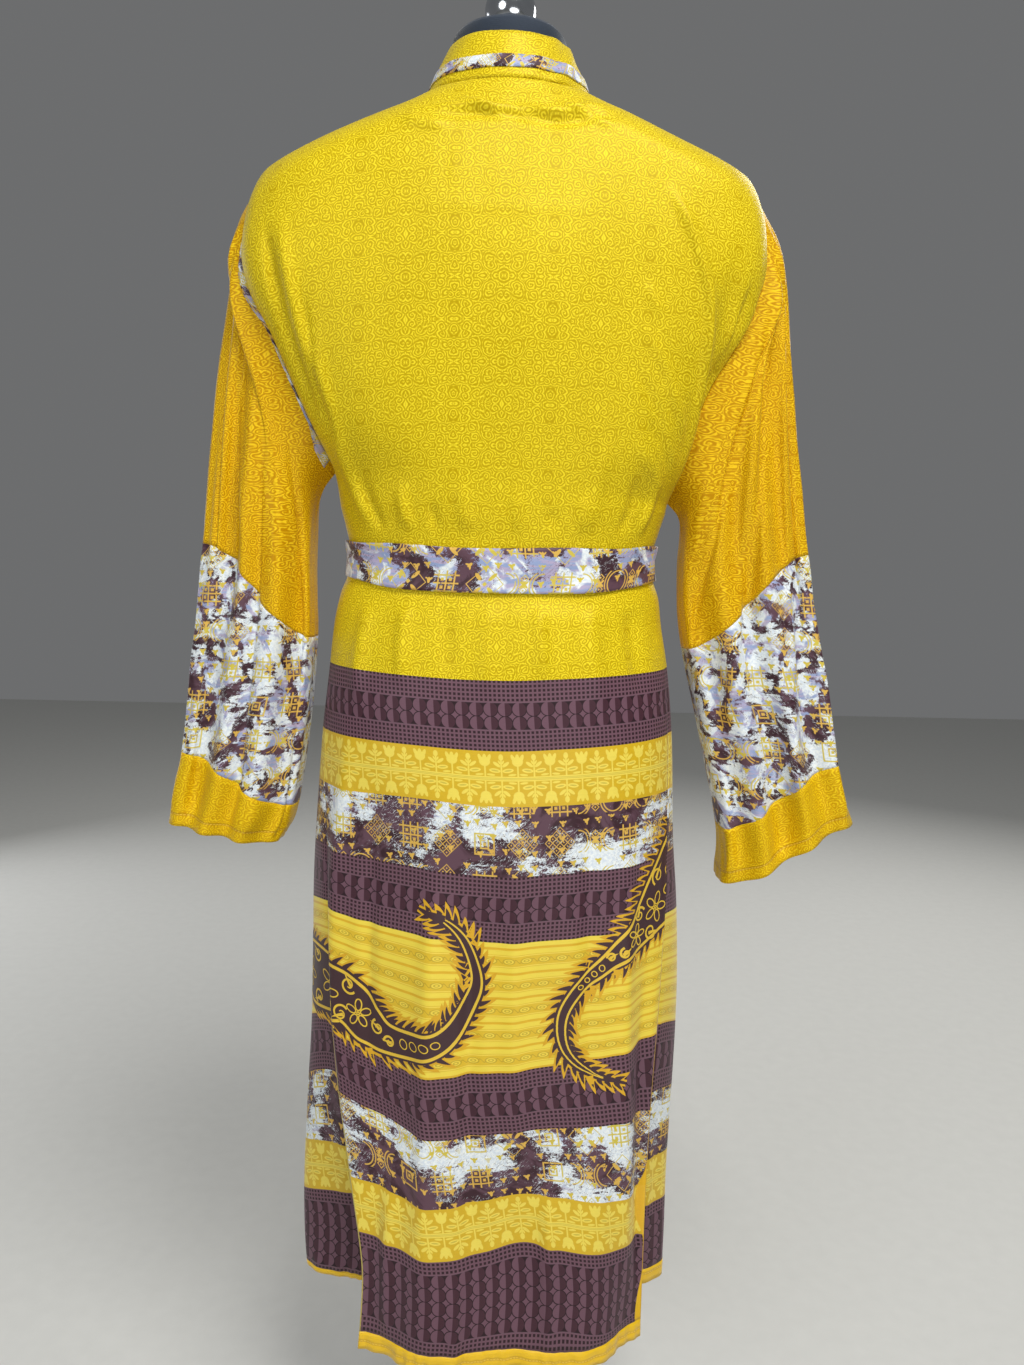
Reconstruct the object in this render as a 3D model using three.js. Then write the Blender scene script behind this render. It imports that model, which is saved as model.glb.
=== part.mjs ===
import * as THREE from 'three';

/*
 * Kimono robe on a limbless dress form. Millimetres, +Z up. The robe's front faces -Y, its back +Y,
 * and +X is the wearer's left. The origin is on the floor, under the middle of the stand's base.
 *
 * Every panel is a sheet of points on one body surface. An angle runs round the body: 0 at the
 * left side, a quarter turn at the centre back, a half turn at the right side. Above the underarm a
 * second number, "down", runs from 0 at the shoulder line to 1 at the underarm. Below it, z does.
 */

// ---- cloth ----
const WALL = 1.6;
const BAND_WALL = 2.0;
const TRIM_WALL = 1.0;
const SEAM_GAP = 0.2;
const LAY_GAP = 0.4;

// ---- cut of the robe ----
const SHOULDER = { half: 228, z: 1380 };
const NECK = { half: 80, back: 82, front: 60, z: 1439, dip: 5 };
const UNDERARM = { z: 1086, tilt: 12 };
const SQUARENESS = 2.3;
const SHOULDER_ROUND = 50;
const LAP = 2.4;
const LAP_ANGLE = Math.PI / 4;
const LAP_DOWN = 0.25;
const HEM = { back: 232, left: 254, right: 250 };
const HEM_SEAM = { back: 251, left: 258, right: 271 };

// ---- mesh density ----
const YOKE_DOWNS = [0, 0.006, 0.025, 0.07, 0.14, 0.23, 0.33, 0.44, 0.55, 0.66, 0.78, 0.9, 1];
const YOKE_ROWS = YOKE_DOWNS.length - 1;
const SIDE_COLUMNS = 12;
const NECK_COLUMNS = 8;
const BODY_ROWS = [1062, 1032, 1012, 996, 982, 960, 920, 860, 790, 720, 650, 580, 510, 440, 370, 310];

// Half widths of the body below the underarm, from the hem up.
const WIDTH = [
  { at: 250, left: 195, right: 188 },
  { at: 300, left: 198, right: 189 },
  { at: 360, left: 199, right: 190 },
  { at: 440, left: 195, right: 192 },
  { at: 520, left: 190, right: 192 },
  { at: 604, left: 187, right: 191 },
  { at: 674, left: 185, right: 188 },
  { at: 742, left: 182, right: 182 },
  { at: 842, left: 177, right: 176 },
  { at: 910, left: 169, right: 169 },
  { at: 952, left: 164, right: 162 },
  { at: 980, left: 158, right: 158 },
  { at: 998, left: 151, right: 152 },
  { at: 1028, left: 150, right: 152 },
  { at: 1042, left: 153, right: 156 },
  { at: 1070, left: 160, right: 164 },
  { at: 1098, left: 164, right: 167 },
];

// Depth of the body behind and in front of the shoulder line.
const DEPTH = [
  { at: 232, back: 124, front: 116 },
  { at: 500, back: 120, front: 114 },
  { at: 674, back: 118, front: 112 },
  { at: 800, back: 117, front: 110 },
  { at: 900, back: 110, front: 106 },
  { at: 960, back: 97, front: 100 },
  { at: 984, back: 89, front: 95 },
  { at: 1024, back: 88, front: 94 },
  { at: 1060, back: 93, front: 100 },
  { at: 1150, back: 103, front: 110 },
  { at: 1250, back: 110, front: 112 },
  { at: 1330, back: 108, front: 102 },
  { at: 1400, back: 97, front: 86 },
  { at: 1439, back: 84, front: 66 },
];

// The armhole seam, from the shoulder tip down to the underarm: half widths and half depth.
const ARMHOLE = [
  { at: 0, left: 228, right: 228, deep: 26 },
  { at: 0.12, left: 235, right: 236, deep: 36 },
  { at: 0.21, left: 240, right: 241, deep: 42 },
  { at: 0.34, left: 242, right: 240, deep: 48 },
  { at: 0.46, left: 233, right: 226, deep: 50 },
  { at: 0.55, left: 219, right: 214, deep: 51 },
  { at: 0.67, left: 204, right: 193, deep: 50 },
  { at: 0.81, left: 187, right: 178, deep: 44 },
  { at: 0.92, left: 173, right: 170, deep: 30 },
  { at: 1, left: 164, right: 164, deep: 0 },
];

// Degrees by which the side seams lie behind the widest line, and how far the front panels'
// edges drop inwards below the top of the side slits (1 is on the body surface).
const SIDE_SEAM = [
  { at: 232, left: 52, right: 34, leftTuck: 0.3, rightTuck: 0.3 },
  { at: 326, left: 54, right: 35, leftTuck: 0.34, rightTuck: 0.34 },
  { at: 439, left: 47, right: 36, leftTuck: 0.45, rightTuck: 0.45 },
  { at: 504, left: 41, right: 35, leftTuck: 0.6, rightTuck: 0.6 },
  { at: 568, left: 36, right: 33, leftTuck: 0.76, rightTuck: 0.76 },
  { at: 640, left: 33, right: 30, leftTuck: 0.9, rightTuck: 0.9 },
  { at: 710, left: 30, right: 26, leftTuck: 1, rightTuck: 1 },
  { at: 800, left: 23, right: 20, leftTuck: 1, rightTuck: 1 },
  { at: 900, left: 14, right: 14, leftTuck: 1, rightTuck: 1 },
  { at: 1020, left: 4, right: 4, leftTuck: 1, rightTuck: 1 },
  { at: 1074, left: 0, right: 0, leftTuck: 1, rightTuck: 1 },
];

// Distance of a front panel's inner edge from the centre line, positive on its own side.
const FRONT_EDGE = [
  { at: 232, x: -50 },
  { at: 500, x: -42 },
  { at: 800, x: -30 },
  { at: 900, x: -22 },
  { at: 1024, x: -6 },
  { at: 1100, x: 8 },
  { at: 1200, x: 27 },
  { at: 1300, x: 47 },
  { at: 1400, x: 70 },
  { at: 1439, x: 80 },
];

// Soft vertical folds of the skirt: where round the body, how high, how wide, and where they start.
const SKIRT_FOLDS = [
  { deg: 60, rise: -6, width: 9, top: 900 },
  { deg: 77, rise: 9, width: 9, top: 930 },
  { deg: 96, rise: -6, width: 8, top: 760 },
  { deg: 119, rise: 9, width: 11, top: 880 },
  { deg: 139, rise: -5, width: 8, top: 700 },
  { deg: 204, rise: 6, width: 9, top: 820 },
  { deg: 226, rise: -5, width: 9, top: 900 },
  { deg: 252, rise: 8, width: 10, top: 860 },
  { deg: 283, rise: -6, width: 9, top: 780 },
  { deg: 305, rise: 8, width: 10, top: 920 },
  { deg: 333, rise: -5, width: 9, top: 760 },
];
const FOLD_RUN = 620;

// ---- neckband ----
const BAND = { width: 42, lift: 0.4, lean: 22, rise: 48, backRise: 45, turnDown: 110 };
const BAND_STRIP = { from: 0.2, to: 0.46 };

// ---- sleeves ----
// "at" is 0 on the armhole, 1 on the top of the print band, 2 on its foot and 3 on the cuff's edge.
// outX, outZ follow the sleeve's outer edge and inX, inZ its inner edge; deep is half its thickness.
const SLEEVE = {
  left: [
    { at: 0, outX: 228, outZ: 1380, inX: 164, inZ: 1098, deep: 50 },
    { at: 0.12, outX: 259, outZ: 1335, inX: 177, inZ: 1080, deep: 49 },
    { at: 0.3, outX: 265, outZ: 1270, inX: 184, inZ: 1054, deep: 47 },
    { at: 0.55, outX: 275, outZ: 1180, inX: 186, inZ: 1012, deep: 45 },
    { at: 0.8, outX: 281, outZ: 1095, inX: 185, inZ: 968, deep: 43 },
    { at: 1, outX: 287, outZ: 1024, inX: 185, inZ: 934, deep: 42 },
    { at: 1.5, outX: 299, outZ: 922, inX: 192, inZ: 850, deep: 41 },
    { at: 2, outX: 312, outZ: 817, inX: 204, inZ: 764, deep: 42 },
    { at: 3, outX: 331, outZ: 745, inX: 219, inZ: 727, deep: 44 },
  ],
  right: [
    { at: 0, outX: -228, outZ: 1380, inX: -164, inZ: 1074, deep: 50 },
    { at: 0.12, outX: -258, outZ: 1337, inX: -176, inZ: 1060, deep: 49 },
    { at: 0.3, outX: -272, outZ: 1285, inX: -180, inZ: 1038, deep: 47 },
    { at: 0.55, outX: -284, outZ: 1190, inX: -179, inZ: 1008, deep: 45 },
    { at: 0.8, outX: -297, outZ: 1098, inX: -180, inZ: 968, deep: 43 },
    { at: 1, outX: -307, outZ: 1025, inX: -186, inZ: 930, deep: 42 },
    { at: 1.5, outX: -325, outZ: 920, inX: -205, inZ: 852, deep: 41 },
    { at: 2, outX: -346, outZ: 818, inX: -228, inZ: 750, deep: 42 },
    { at: 3, outX: -366, outZ: 757, inX: -230, inZ: 693, deep: 44 },
  ],
};
const SLEEVE_STOPS = { upper: [0, 0.12, 0.3, 0.55, 0.8, 1], print: [1, 1.5, 2], cuff: [2, 2.5, 3] };
const SLEEVE_SETTLE = 0.45;
const SLEEVE_SLANT = 0.8;
const SLEEVE_FOLDS = { count: 3, rise: 7, start: 0.1, full: 1, backPhase: 0.15, frontPhase: 0.6 };
const ARMHOLE_STRIP = { start: 0.05, width: 10 };

// ---- belt ----
const BELT = { wall: 1.8, clear: 1, frontClear: 5.2, columns: 40, rows: 2 };
const BELT_EDGES = { topSide: 1030, topBack: 1025, footSide: 996, footBack: 983 };
const KNOT = { width: 46, height: 34, depth: 20, gap: 0.7 };
const TAIL = { width: 38, length: 360, rows: 12, wall: 1.6, clear: 0.6, gap: 0.4, spread: 0.1 };

// ---- dress form and stand ----
// Half widths and depths of the form from its foot up to the top of its neck.
const FORM = [
  { z: 776, half: 128, back: 84, front: 80 },
  { z: 790, half: 142, back: 96, front: 92 },
  { z: 850, half: 151, back: 101, front: 96 },
  { z: 920, half: 145, back: 92, front: 90 },
  { z: 1005, half: 121, back: 76, front: 78 },
  { z: 1080, half: 130, back: 80, front: 88 },
  { z: 1160, half: 142, back: 88, front: 98 },
  { z: 1240, half: 152, back: 93, front: 98 },
  { z: 1310, half: 164, back: 88, front: 84 },
  { z: 1355, half: 174, back: 76, front: 70 },
  { z: 1380, half: 180, back: 64, front: 58 },
  { z: 1394, half: 174, back: 52, front: 46 },
  { z: 1404, half: 161, back: 48, front: 42 },
  { z: 1416, half: 131, back: 45, front: 39 },
  { z: 1428, half: 101, back: 46, front: 39 },
  { z: 1436, half: 79, back: 50, front: 42 },
  { z: 1446, half: 58, back: 60, front: 48 },
  { z: 1470, half: 54, back: 60, front: 48 },
  { z: 1494, half: 54, back: 60, front: 48 },
  { z: 1498, half: 51, back: 57, front: 45 },
];
const FORM_COLUMNS = 40;
const FORM_SQUARENESS = 2.1;
const PIECE_GAP = 0.3;
const NECK_KNOB = { radius: 24, footRadius: 13, footHeight: 6, y: 6 };
const POLE = { radius: 13, collarRadius: 26, collarHeight: 34, footRadius: 34, footHeight: 26, segments: 20 };
const BASE = { radius: 175, height: 12, edge: 4, segments: 40 };

// ---- colours ----
const FINISH = {
  cloth: { color: 0xd9bd2c, roughness: 0.5, metalness: 0 },
  sleeve: { color: 0xd9a81c, roughness: 0.5, metalness: 0 },
  print: { color: 0x8d8190, roughness: 0.6, metalness: 0 },
  hem: { color: 0xf0c21e, roughness: 0.55, metalness: 0 },
  form: { color: 0x39424f, roughness: 0.8, metalness: 0 },
  chrome: { color: 0xc8ccd0, roughness: 0.15, metalness: 1 },
  stand: { color: 0x2a2c30, roughness: 0.5, metalness: 0.4 },
};

// ---- small helpers ----
const clamp = (v) => Math.min(1, Math.max(0, v));
const smooth = (v) => clamp(v) ** 2 * (3 - 2 * clamp(v));
const mix = (a, b, share) => a + (b - a) * share;
const point = (x, y, z) => new THREE.Vector3(x, y, z);
const lobe = (v) => Math.sign(v) * Math.abs(v) ** (2 / SQUARENESS);
const unlobe = (v) => Math.sign(v) * Math.abs(v) ** (SQUARENESS / 2);
const radians = (deg) => THREE.MathUtils.degToRad(deg);

// A column of a table at any place, on a smooth curve through its rows.
function read(table, at, column) {
  const last = table.length - 1;
  if (at <= table[0].at) return table[0][column];
  if (at >= table[last].at) return table[last][column];
  let i = 0;
  while (table[i + 1].at < at) i += 1;
  const slope = (j) => {
    const before = table[Math.max(j - 1, 0)];
    const after = table[Math.min(j + 1, last)];
    return (after[column] - before[column]) / (after.at - before.at);
  };
  const run = table[i + 1].at - table[i].at;
  const t = (at - table[i].at) / run;
  const a = table[i][column];
  const b = table[i + 1][column];
  const ease = t * t * (3 - 2 * t);
  const leave = t * (1 - t) ** 2 * run * slope(i);
  const arrive = t * t * (t - 1) * run * slope(i + 1);
  return mix(a, b, ease) + leave + arrive;
}

// ---- body surface ----
const sideName = (angle) => (Math.cos(angle) >= 0 ? 'left' : 'right');
const faceName = (angle) => (Math.sin(angle) >= 0 ? 'back' : 'front');

// The shoulder line, and between its ends the neck seam. "facing" is 1 on the back, -1 in front.
function topOf(angle, facing) {
  const x = SHOULDER.half * lobe(Math.cos(angle));
  const reach = Math.abs(x) / NECK.half;
  if (reach < 1) {
    const round = Math.sqrt(1 - reach * reach);
    if (facing > 0) return { y: NECK.back * round, z: NECK.z - NECK.dip * round };
    return { y: -NECK.front * round, z: NECK.z };
  }
  const share = (Math.abs(x) - NECK.half) / (SHOULDER.half - NECK.half);
  return { y: 0, z: mix(NECK.z, SHOULDER.z, share) };
}

const underarmZ = (angle) => UNDERARM.z + UNDERARM.tilt * Math.cos(angle);

function yokePoint(angle, down, facing) {
  const top = topOf(angle, facing);
  const z = mix(top.z, underarmZ(angle), down);
  const x = read(ARMHOLE, down, sideName(angle)) * lobe(Math.cos(angle));
  const deep = read(ARMHOLE, down, 'deep');
  const full = read(DEPTH, z, facing > 0 ? 'back' : 'front');
  const y = facing * mix(deep, full, Math.abs(lobe(Math.sin(angle))));
  const fall = 1 - clamp((top.z - z) / SHOULDER_ROUND);
  return point(x, mix(top.y, y, Math.sqrt(1 - fall * fall)), z);
}

function foldAt(angle, z) {
  const deg = (THREE.MathUtils.radToDeg(angle) + 360) % 360;
  let rise = 0;
  for (const fold of SKIRT_FOLDS) {
    const away = ((deg - fold.deg + 540) % 360) - 180;
    const grown = smooth((fold.top - z) / FOLD_RUN);
    rise += fold.rise * grown * Math.exp(-((away / fold.width) ** 2));
  }
  return rise;
}

function skirtPoint(angle, z) {
  const fold = foldAt(angle, z);
  const x = read(WIDTH, z, sideName(angle)) * lobe(Math.cos(angle));
  const y = read(DEPTH, z, faceName(angle)) * lobe(Math.sin(angle));
  return point(x + fold * Math.cos(angle), y + fold * Math.sin(angle), z);
}

const seamAngle = (z, side) => radians(read(SIDE_SEAM, z, side));

// Angle at which the front surface lies at distance x from the centre line.
function angleAt(x, half) {
  return -Math.acos(unlobe(THREE.MathUtils.clamp(x / half, -1, 1)));
}

// ---- sheets: a grid of outer points and a grid of outward directions ----
function directions(grid, closed) {
  const rows = grid.length;
  const columns = grid[0].length;
  return grid.map((row, r) => row.map((_, c) => {
    const before = closed ? (c + columns - 1) % columns : Math.max(c - 1, 0);
    const after = closed ? (c + 1) % columns : Math.min(c + 1, columns - 1);
    const across = row[after].clone().sub(row[before]);
    const along = grid[Math.min(r + 1, rows - 1)][c].clone().sub(grid[Math.max(r - 1, 0)][c]);
    return across.cross(along).normalize();
  }));
}

function flipped(normals) {
  return normals.map((row) => row.map((n) => n.clone().negate()));
}

const moved = (grid, normals, by) => grid.map((row, r) => row.map((p, c) => (
  p.clone().addScaledVector(normals[r][c], typeof by === 'function' ? by(r, c) : by)
)));

// Pull the named edges of a sheet back from its seams.
function trimmed(grid, edges, gap = SEAM_GAP) {
  const out = grid.map((row) => row.map((p) => p.clone()));
  const rows = out.length;
  const columns = out[0].length;
  const pull = (p, inner) => p.add(inner.clone().sub(p).setLength(gap));
  for (let c = 0; c < columns; c += 1) {
    if (edges.includes('top')) pull(out[0][c], grid[1][c]);
    if (edges.includes('foot')) pull(out[rows - 1][c], grid[rows - 2][c]);
  }
  for (let r = 0; r < rows; r += 1) {
    if (edges.includes('start')) pull(out[r][0], grid[r][1]);
    if (edges.includes('end')) pull(out[r][columns - 1], grid[r][columns - 2]);
  }
  return out;
}

// One closed solid between two grids that share their layout.
function solidBetween(outer, inner, closed = false) {
  const rows = outer.length;
  const columns = outer[0].length;
  const positions = [];
  for (const grid of [outer, inner]) {
    for (const row of grid) row.forEach((p) => positions.push(p.x, p.y, p.z));
  }
  const id = (side, r, c) => (side * rows + r) * columns + (c % columns);
  const index = [];
  const quad = (a, b, c, d) => index.push(a, b, c, a, c, d);
  const spans = closed ? columns : columns - 1;
  for (let r = 0; r < rows - 1; r += 1) {
    for (let c = 0; c < spans; c += 1) {
      quad(id(0, r, c), id(0, r + 1, c), id(0, r + 1, c + 1), id(0, r, c + 1));
      quad(id(1, r, c), id(1, r, c + 1), id(1, r + 1, c + 1), id(1, r + 1, c));
    }
  }
  for (let c = 0; c < spans; c += 1) {
    quad(id(0, 0, c), id(0, 0, c + 1), id(1, 0, c + 1), id(1, 0, c));
    quad(id(0, rows - 1, c), id(1, rows - 1, c), id(1, rows - 1, c + 1), id(0, rows - 1, c + 1));
  }
  if (!closed) {
    const end = columns - 1;
    for (let r = 0; r < rows - 1; r += 1) {
      quad(id(0, r, 0), id(1, r, 0), id(1, r + 1, 0), id(0, r + 1, 0));
      quad(id(0, r, end), id(0, r + 1, end), id(1, r + 1, end), id(1, r, end));
    }
  }
  return facingOut(positions, index);
}

// A geometry whose faces point out, whichever way its rows ran.
function facingOut(positions, index) {
  let volume = 0;
  const corner = (i) => point(...positions.slice(3 * i, 3 * i + 3));
  for (let i = 0; i < index.length; i += 3) {
    volume += corner(index[i]).dot(corner(index[i + 1]).cross(corner(index[i + 2])));
  }
  const faces = volume < 0 ? index.slice().reverse() : index;
  const geometry = new THREE.BufferGeometry();
  geometry.setAttribute('position', new THREE.Float32BufferAttribute(positions, 3));
  geometry.setIndex(faces);
  geometry.computeVertexNormals();
  return geometry;
}

const robe = new THREE.Group();

function add(name, geometry, finish) {
  const mesh = new THREE.Mesh(geometry, new THREE.MeshStandardMaterial(FINISH[finish]));
  mesh.name = name;
  robe.add(mesh);
  return mesh;
}

function addSheet(name, grid, normals, finish, edges, wall = WALL, closed = false) {
  const outer = trimmed(grid, edges);
  add(name, solidBetween(outer, moved(outer, normals, -wall), closed), finish);
}

// ---- back panel ----
const neckAngle = Math.acos(unlobe(NECK.half / SHOULDER.half));
const backAngles = [];
for (let i = 0; i < SIDE_COLUMNS; i += 1) backAngles.push(neckAngle * i / SIDE_COLUMNS);
for (let i = 0; i <= NECK_COLUMNS; i += 1) {
  const turn = Math.PI * i / NECK_COLUMNS;
  backAngles.push(Math.acos(unlobe(Math.cos(turn) * NECK.half / SHOULDER.half)));
}
for (let i = SIDE_COLUMNS - 1; i >= 0; i -= 1) {
  backAngles.push(Math.PI - neckAngle * i / SIDE_COLUMNS);
}


function backRow(z) {
  const start = seamAngle(z, 'left');
  const end = Math.PI - seamAngle(z, 'right');
  return backAngles.map((angle) => skirtPoint(mix(start, end, angle / Math.PI), z));
}

const backGrid = YOKE_DOWNS.map((down) => backAngles.map((angle) => yokePoint(angle, down, 1)));
[...BODY_ROWS, HEM_SEAM.back, HEM.back].forEach((z) => backGrid.push(backRow(z)));

// ---- front panels ----
// "mirror" is 1 for the left panel, which lies on top, and -1 for the right one under it.
const frontShares = Array.from({ length: SIDE_COLUMNS + 1 }, (_, i) => i / SIDE_COLUMNS);
const mirrored = (angle, mirror) => (mirror > 0 ? angle : Math.PI - angle);
const bandZ = (down) => mix(NECK.z, UNDERARM.z, down);

function frontYokePoint(share, down, mirror, across = 0) {
  const side = mirror > 0 ? 'left' : 'right';
  const half = read(ARMHOLE, down, side);
  const edge = angleAt(read(FRONT_EDGE, bandZ(down), 'x') - across, half);
  const angle = edge * share;
  const p = yokePoint(mirrored(angle, mirror), down, -1);
  const lift = mirror * LAP * smooth(-angle / LAP_ANGLE) * smooth(down / LAP_DOWN);
  return lifted(p, mirrored(angle, mirror), lift);
}

function frontSkirtPoint(share, z, mirror, across = 0) {
  const side = mirror > 0 ? 'left' : 'right';
  const start = seamAngle(z, side);
  const edge = angleAt(read(FRONT_EDGE, z, 'x') - across, read(WIDTH, z, side));
  const angle = mix(start, edge, share);
  const p = skirtPoint(mirrored(angle, mirror), z);
  if (p.y > 0) p.y *= read(SIDE_SEAM, z, `${side}Tuck`);
  const lift = mirror * LAP * smooth(-angle / LAP_ANGLE);
  return lifted(p, mirrored(angle, mirror), lift);
}

function lifted(p, angle, lift) {
  return p.add(point(Math.cos(angle) * lift, Math.sin(angle) * lift, 0));
}

function frontGrid(mirror, seam, hem) {
  const rows = YOKE_DOWNS.map((down) => frontShares.map((s) => frontYokePoint(s, down, mirror)));
  [...BODY_ROWS, seam, hem].forEach((z) => {
    rows.push(frontShares.map((s) => frontSkirtPoint(s, z, mirror)));
  });
  return rows;
}

const leftGrid = frontGrid(1, HEM_SEAM.left, HEM.left);
const rightGrid = frontGrid(-1, HEM_SEAM.right, HEM.right);

const backNormals = flipped(directions(backGrid, false));
const leftNormals = directions(leftGrid, false);
const rightNormals = flipped(directions(rightGrid, false));

// Neighbouring sheets share one direction at each point of their seam.
function weld(a, b) {
  const both = a.clone().add(b).normalize();
  a.copy(both);
  b.copy(both);
}

const lastColumn = backAngles.length - 1;
for (let r = 0; r < backGrid.length; r += 1) {
  if (r > YOKE_ROWS && read(SIDE_SEAM, backGrid[r][0].z, 'leftTuck') < 1) continue;
  weld(backNormals[r][0], leftNormals[r][0]);
  weld(backNormals[r][lastColumn], rightNormals[r][0]);
}
for (let i = 0; i <= SIDE_COLUMNS; i += 1) {
  weld(backNormals[0][i], leftNormals[0][i]);
  weld(backNormals[0][lastColumn - i], rightNormals[0][i]);
}

// ---- armholes: down the back of the seam and up its front ----
function armholeRing(backColumn, frontSheet) {
  const down = YOKE_DOWNS.map((_, r) => backGrid[r][backColumn]);
  const up = YOKE_DOWNS.slice(1, -1).map((_, r) => frontSheet[r + 1][0]).reverse();
  return [...down, ...up].map((p) => p.clone());
}

const rings = { left: armholeRing(0, leftGrid), right: armholeRing(lastColumn, rightGrid) };

// Outward directions that lie in the armhole's own plane.
function ringNormals(ring) {
  const axis = ring[0].clone().sub(ring[YOKE_ROWS]).cross(point(0, 1, 0)).normalize();
  const middle = ring[0].clone().add(ring[YOKE_ROWS]).multiplyScalar(0.5);
  return ring.map((p, i) => {
    const count = ring.length;
    const run = ring[(i + 1) % count].clone().sub(ring[(i + count - 1) % count]);
    const out = run.cross(axis).normalize();
    return out.dot(p.clone().sub(middle)) < 0 ? out.negate() : out;
  });
}

const ringOut = { left: ringNormals(rings.left), right: ringNormals(rings.right) };
for (let r = 0; r <= YOKE_ROWS; r += 1) {
  const frontIndex = (2 * YOKE_ROWS - r) % (2 * YOKE_ROWS);
  backNormals[r][0].copy(ringOut.left[r]);
  leftNormals[r][0].copy(ringOut.left[frontIndex]);
  backNormals[r][lastColumn].copy(ringOut.right[r]);
  rightNormals[r][0].copy(ringOut.right[frontIndex]);
}

// ---- neckband: up the left front, round the neck and down the right front ----
const bandShares = [0, BAND_STRIP.from, BAND_STRIP.to, 1];
const bandRow = (mirror, place, isYoke) => bandShares.map((share) => {
  const across = share * BAND.width;
  if (!isYoke) return frontSkirtPoint(1, place, mirror, across);
  const seam = frontYokePoint(1, place, mirror);
  const flat = frontYokePoint(1, place, mirror, across);
  const standing = seam.clone().add(point(-BAND.lean * mirror, 0, BAND.rise).multiplyScalar(share));
  const turned = smooth((NECK.z - bandZ(place)) / BAND.turnDown);
  return standing.lerp(flat, turned);
});

function collarRow(column) {
  const seam = backGrid[0][column];
  const leanX = seam.x * BAND.lean / NECK.half;
  const back = seam.y / NECK.back;
  const top = point(seam.x - leanX, seam.y - 14 * back, seam.z + mix(BAND.rise, BAND.backRise, back));
  return bandShares.map((share) => seam.clone().lerp(top, share));
}

const bandGrid = [];
const skirtPlaces = (hem) => [...BODY_ROWS, hem];
skirtPlaces(HEM.left).reverse().forEach((z) => bandGrid.push(bandRow(1, z, false)));
YOKE_DOWNS.slice(1).reverse().forEach((down) => bandGrid.push(bandRow(1, down, true)));
for (let i = 0; i <= NECK_COLUMNS; i += 1) bandGrid.push(collarRow(SIDE_COLUMNS + i));
YOKE_DOWNS.slice(1).forEach((down) => bandGrid.push(bandRow(-1, down, true)));
skirtPlaces(HEM.right).forEach((z) => bandGrid.push(bandRow(-1, z, false)));
const bandNormals = directions(bandGrid, false);
const centreBack = Math.floor(bandGrid.length / 2);
if (bandNormals[centreBack][1].y < 0) bandNormals.forEach((row) => row.forEach((n) => n.negate()));

// ---- sheets of the body ----
const hemRow = backGrid.length - 2;

function addBodyPanel(name, grid, normals, edges, hemName) {
  addSheet(name, grid.slice(0, hemRow + 1), normals.slice(0, hemRow + 1), 'cloth',
    [...edges, 'top', 'foot']);
  addSheet(hemName, grid.slice(hemRow), normals.slice(hemRow), 'hem', [...edges, 'top']);
}

addBodyPanel('back_panel', backGrid, backNormals, ['start', 'end'], 'hem_back');
addBodyPanel('front_left_panel', leftGrid, leftNormals, ['start', 'end'], 'hem_front_left');
addBodyPanel('front_right_panel', rightGrid, rightNormals, ['start', 'end'], 'hem_front_right');

const bandOuter = moved(bandGrid, bandNormals, BAND.lift);
addSheet('neckband', bandOuter, bandNormals, 'cloth', ['start'], BAND_WALL);

const stripGrid = bandOuter.map((row) => [row[1], row[2]]);
const stripNormals = bandNormals.map((row) => [row[1], row[2]]);
add('neckband_strip', solidBetween(
  moved(stripGrid, stripNormals, LAY_GAP + TRIM_WALL),
  moved(stripGrid, stripNormals, LAY_GAP),
), 'print');

// ---- sleeves ----
function sleeveRing(side, at) {
  const ring = rings[side];
  const table = SLEEVE[side];
  const row = (column) => read(table, at, column);
  const settled = smooth(at / SLEEVE_SETTLE);
  const first = table[0];
  const grown = smooth((at - SLEEVE_FOLDS.start) / (SLEEVE_FOLDS.full - SLEEVE_FOLDS.start));
  return ring.map((p, i) => {
    const onBack = i <= YOKE_ROWS;
    const down = YOKE_DOWNS[onBack ? i : 2 * YOKE_ROWS - i];
    const bulgeX = p.x - mix(first.outX, first.inX, down);
    const share = mix(down, (1 - Math.cos(Math.PI * down)) / 2, settled);
    const slanted = mix(share, smooth(share), SLEEVE_SLANT * settled);
    const facing = onBack ? 1 : -1;
    const phase = onBack ? SLEEVE_FOLDS.backPhase : SLEEVE_FOLDS.frontPhase;
    const wave = Math.sin(2 * Math.PI * (SLEEVE_FOLDS.count * share + phase));
    const body = Math.sin(Math.PI * down);
    const ripple = SLEEVE_FOLDS.rise * grown * wave * body;
    const round = facing * (row('deep') * Math.sqrt(body) + ripple);
    return point(
      mix(row('outX'), row('inX'), share) + bulgeX * (1 - settled),
      body < 1e-6 ? 0 : mix(p.y, round, settled),
      mix(row('outZ'), row('inZ'), slanted),
    );
  });
}

function shiftedFromArmhole(side, ring) {
  const out = rings[side][0].clone().sub(rings[side][YOKE_ROWS]).cross(point(0, 1, 0));
  out.setLength(2 * SEAM_GAP);
  if (out.x * rings[side][0].x < 0) out.negate();
  return ring.map((p) => p.add(out));
}

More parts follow.
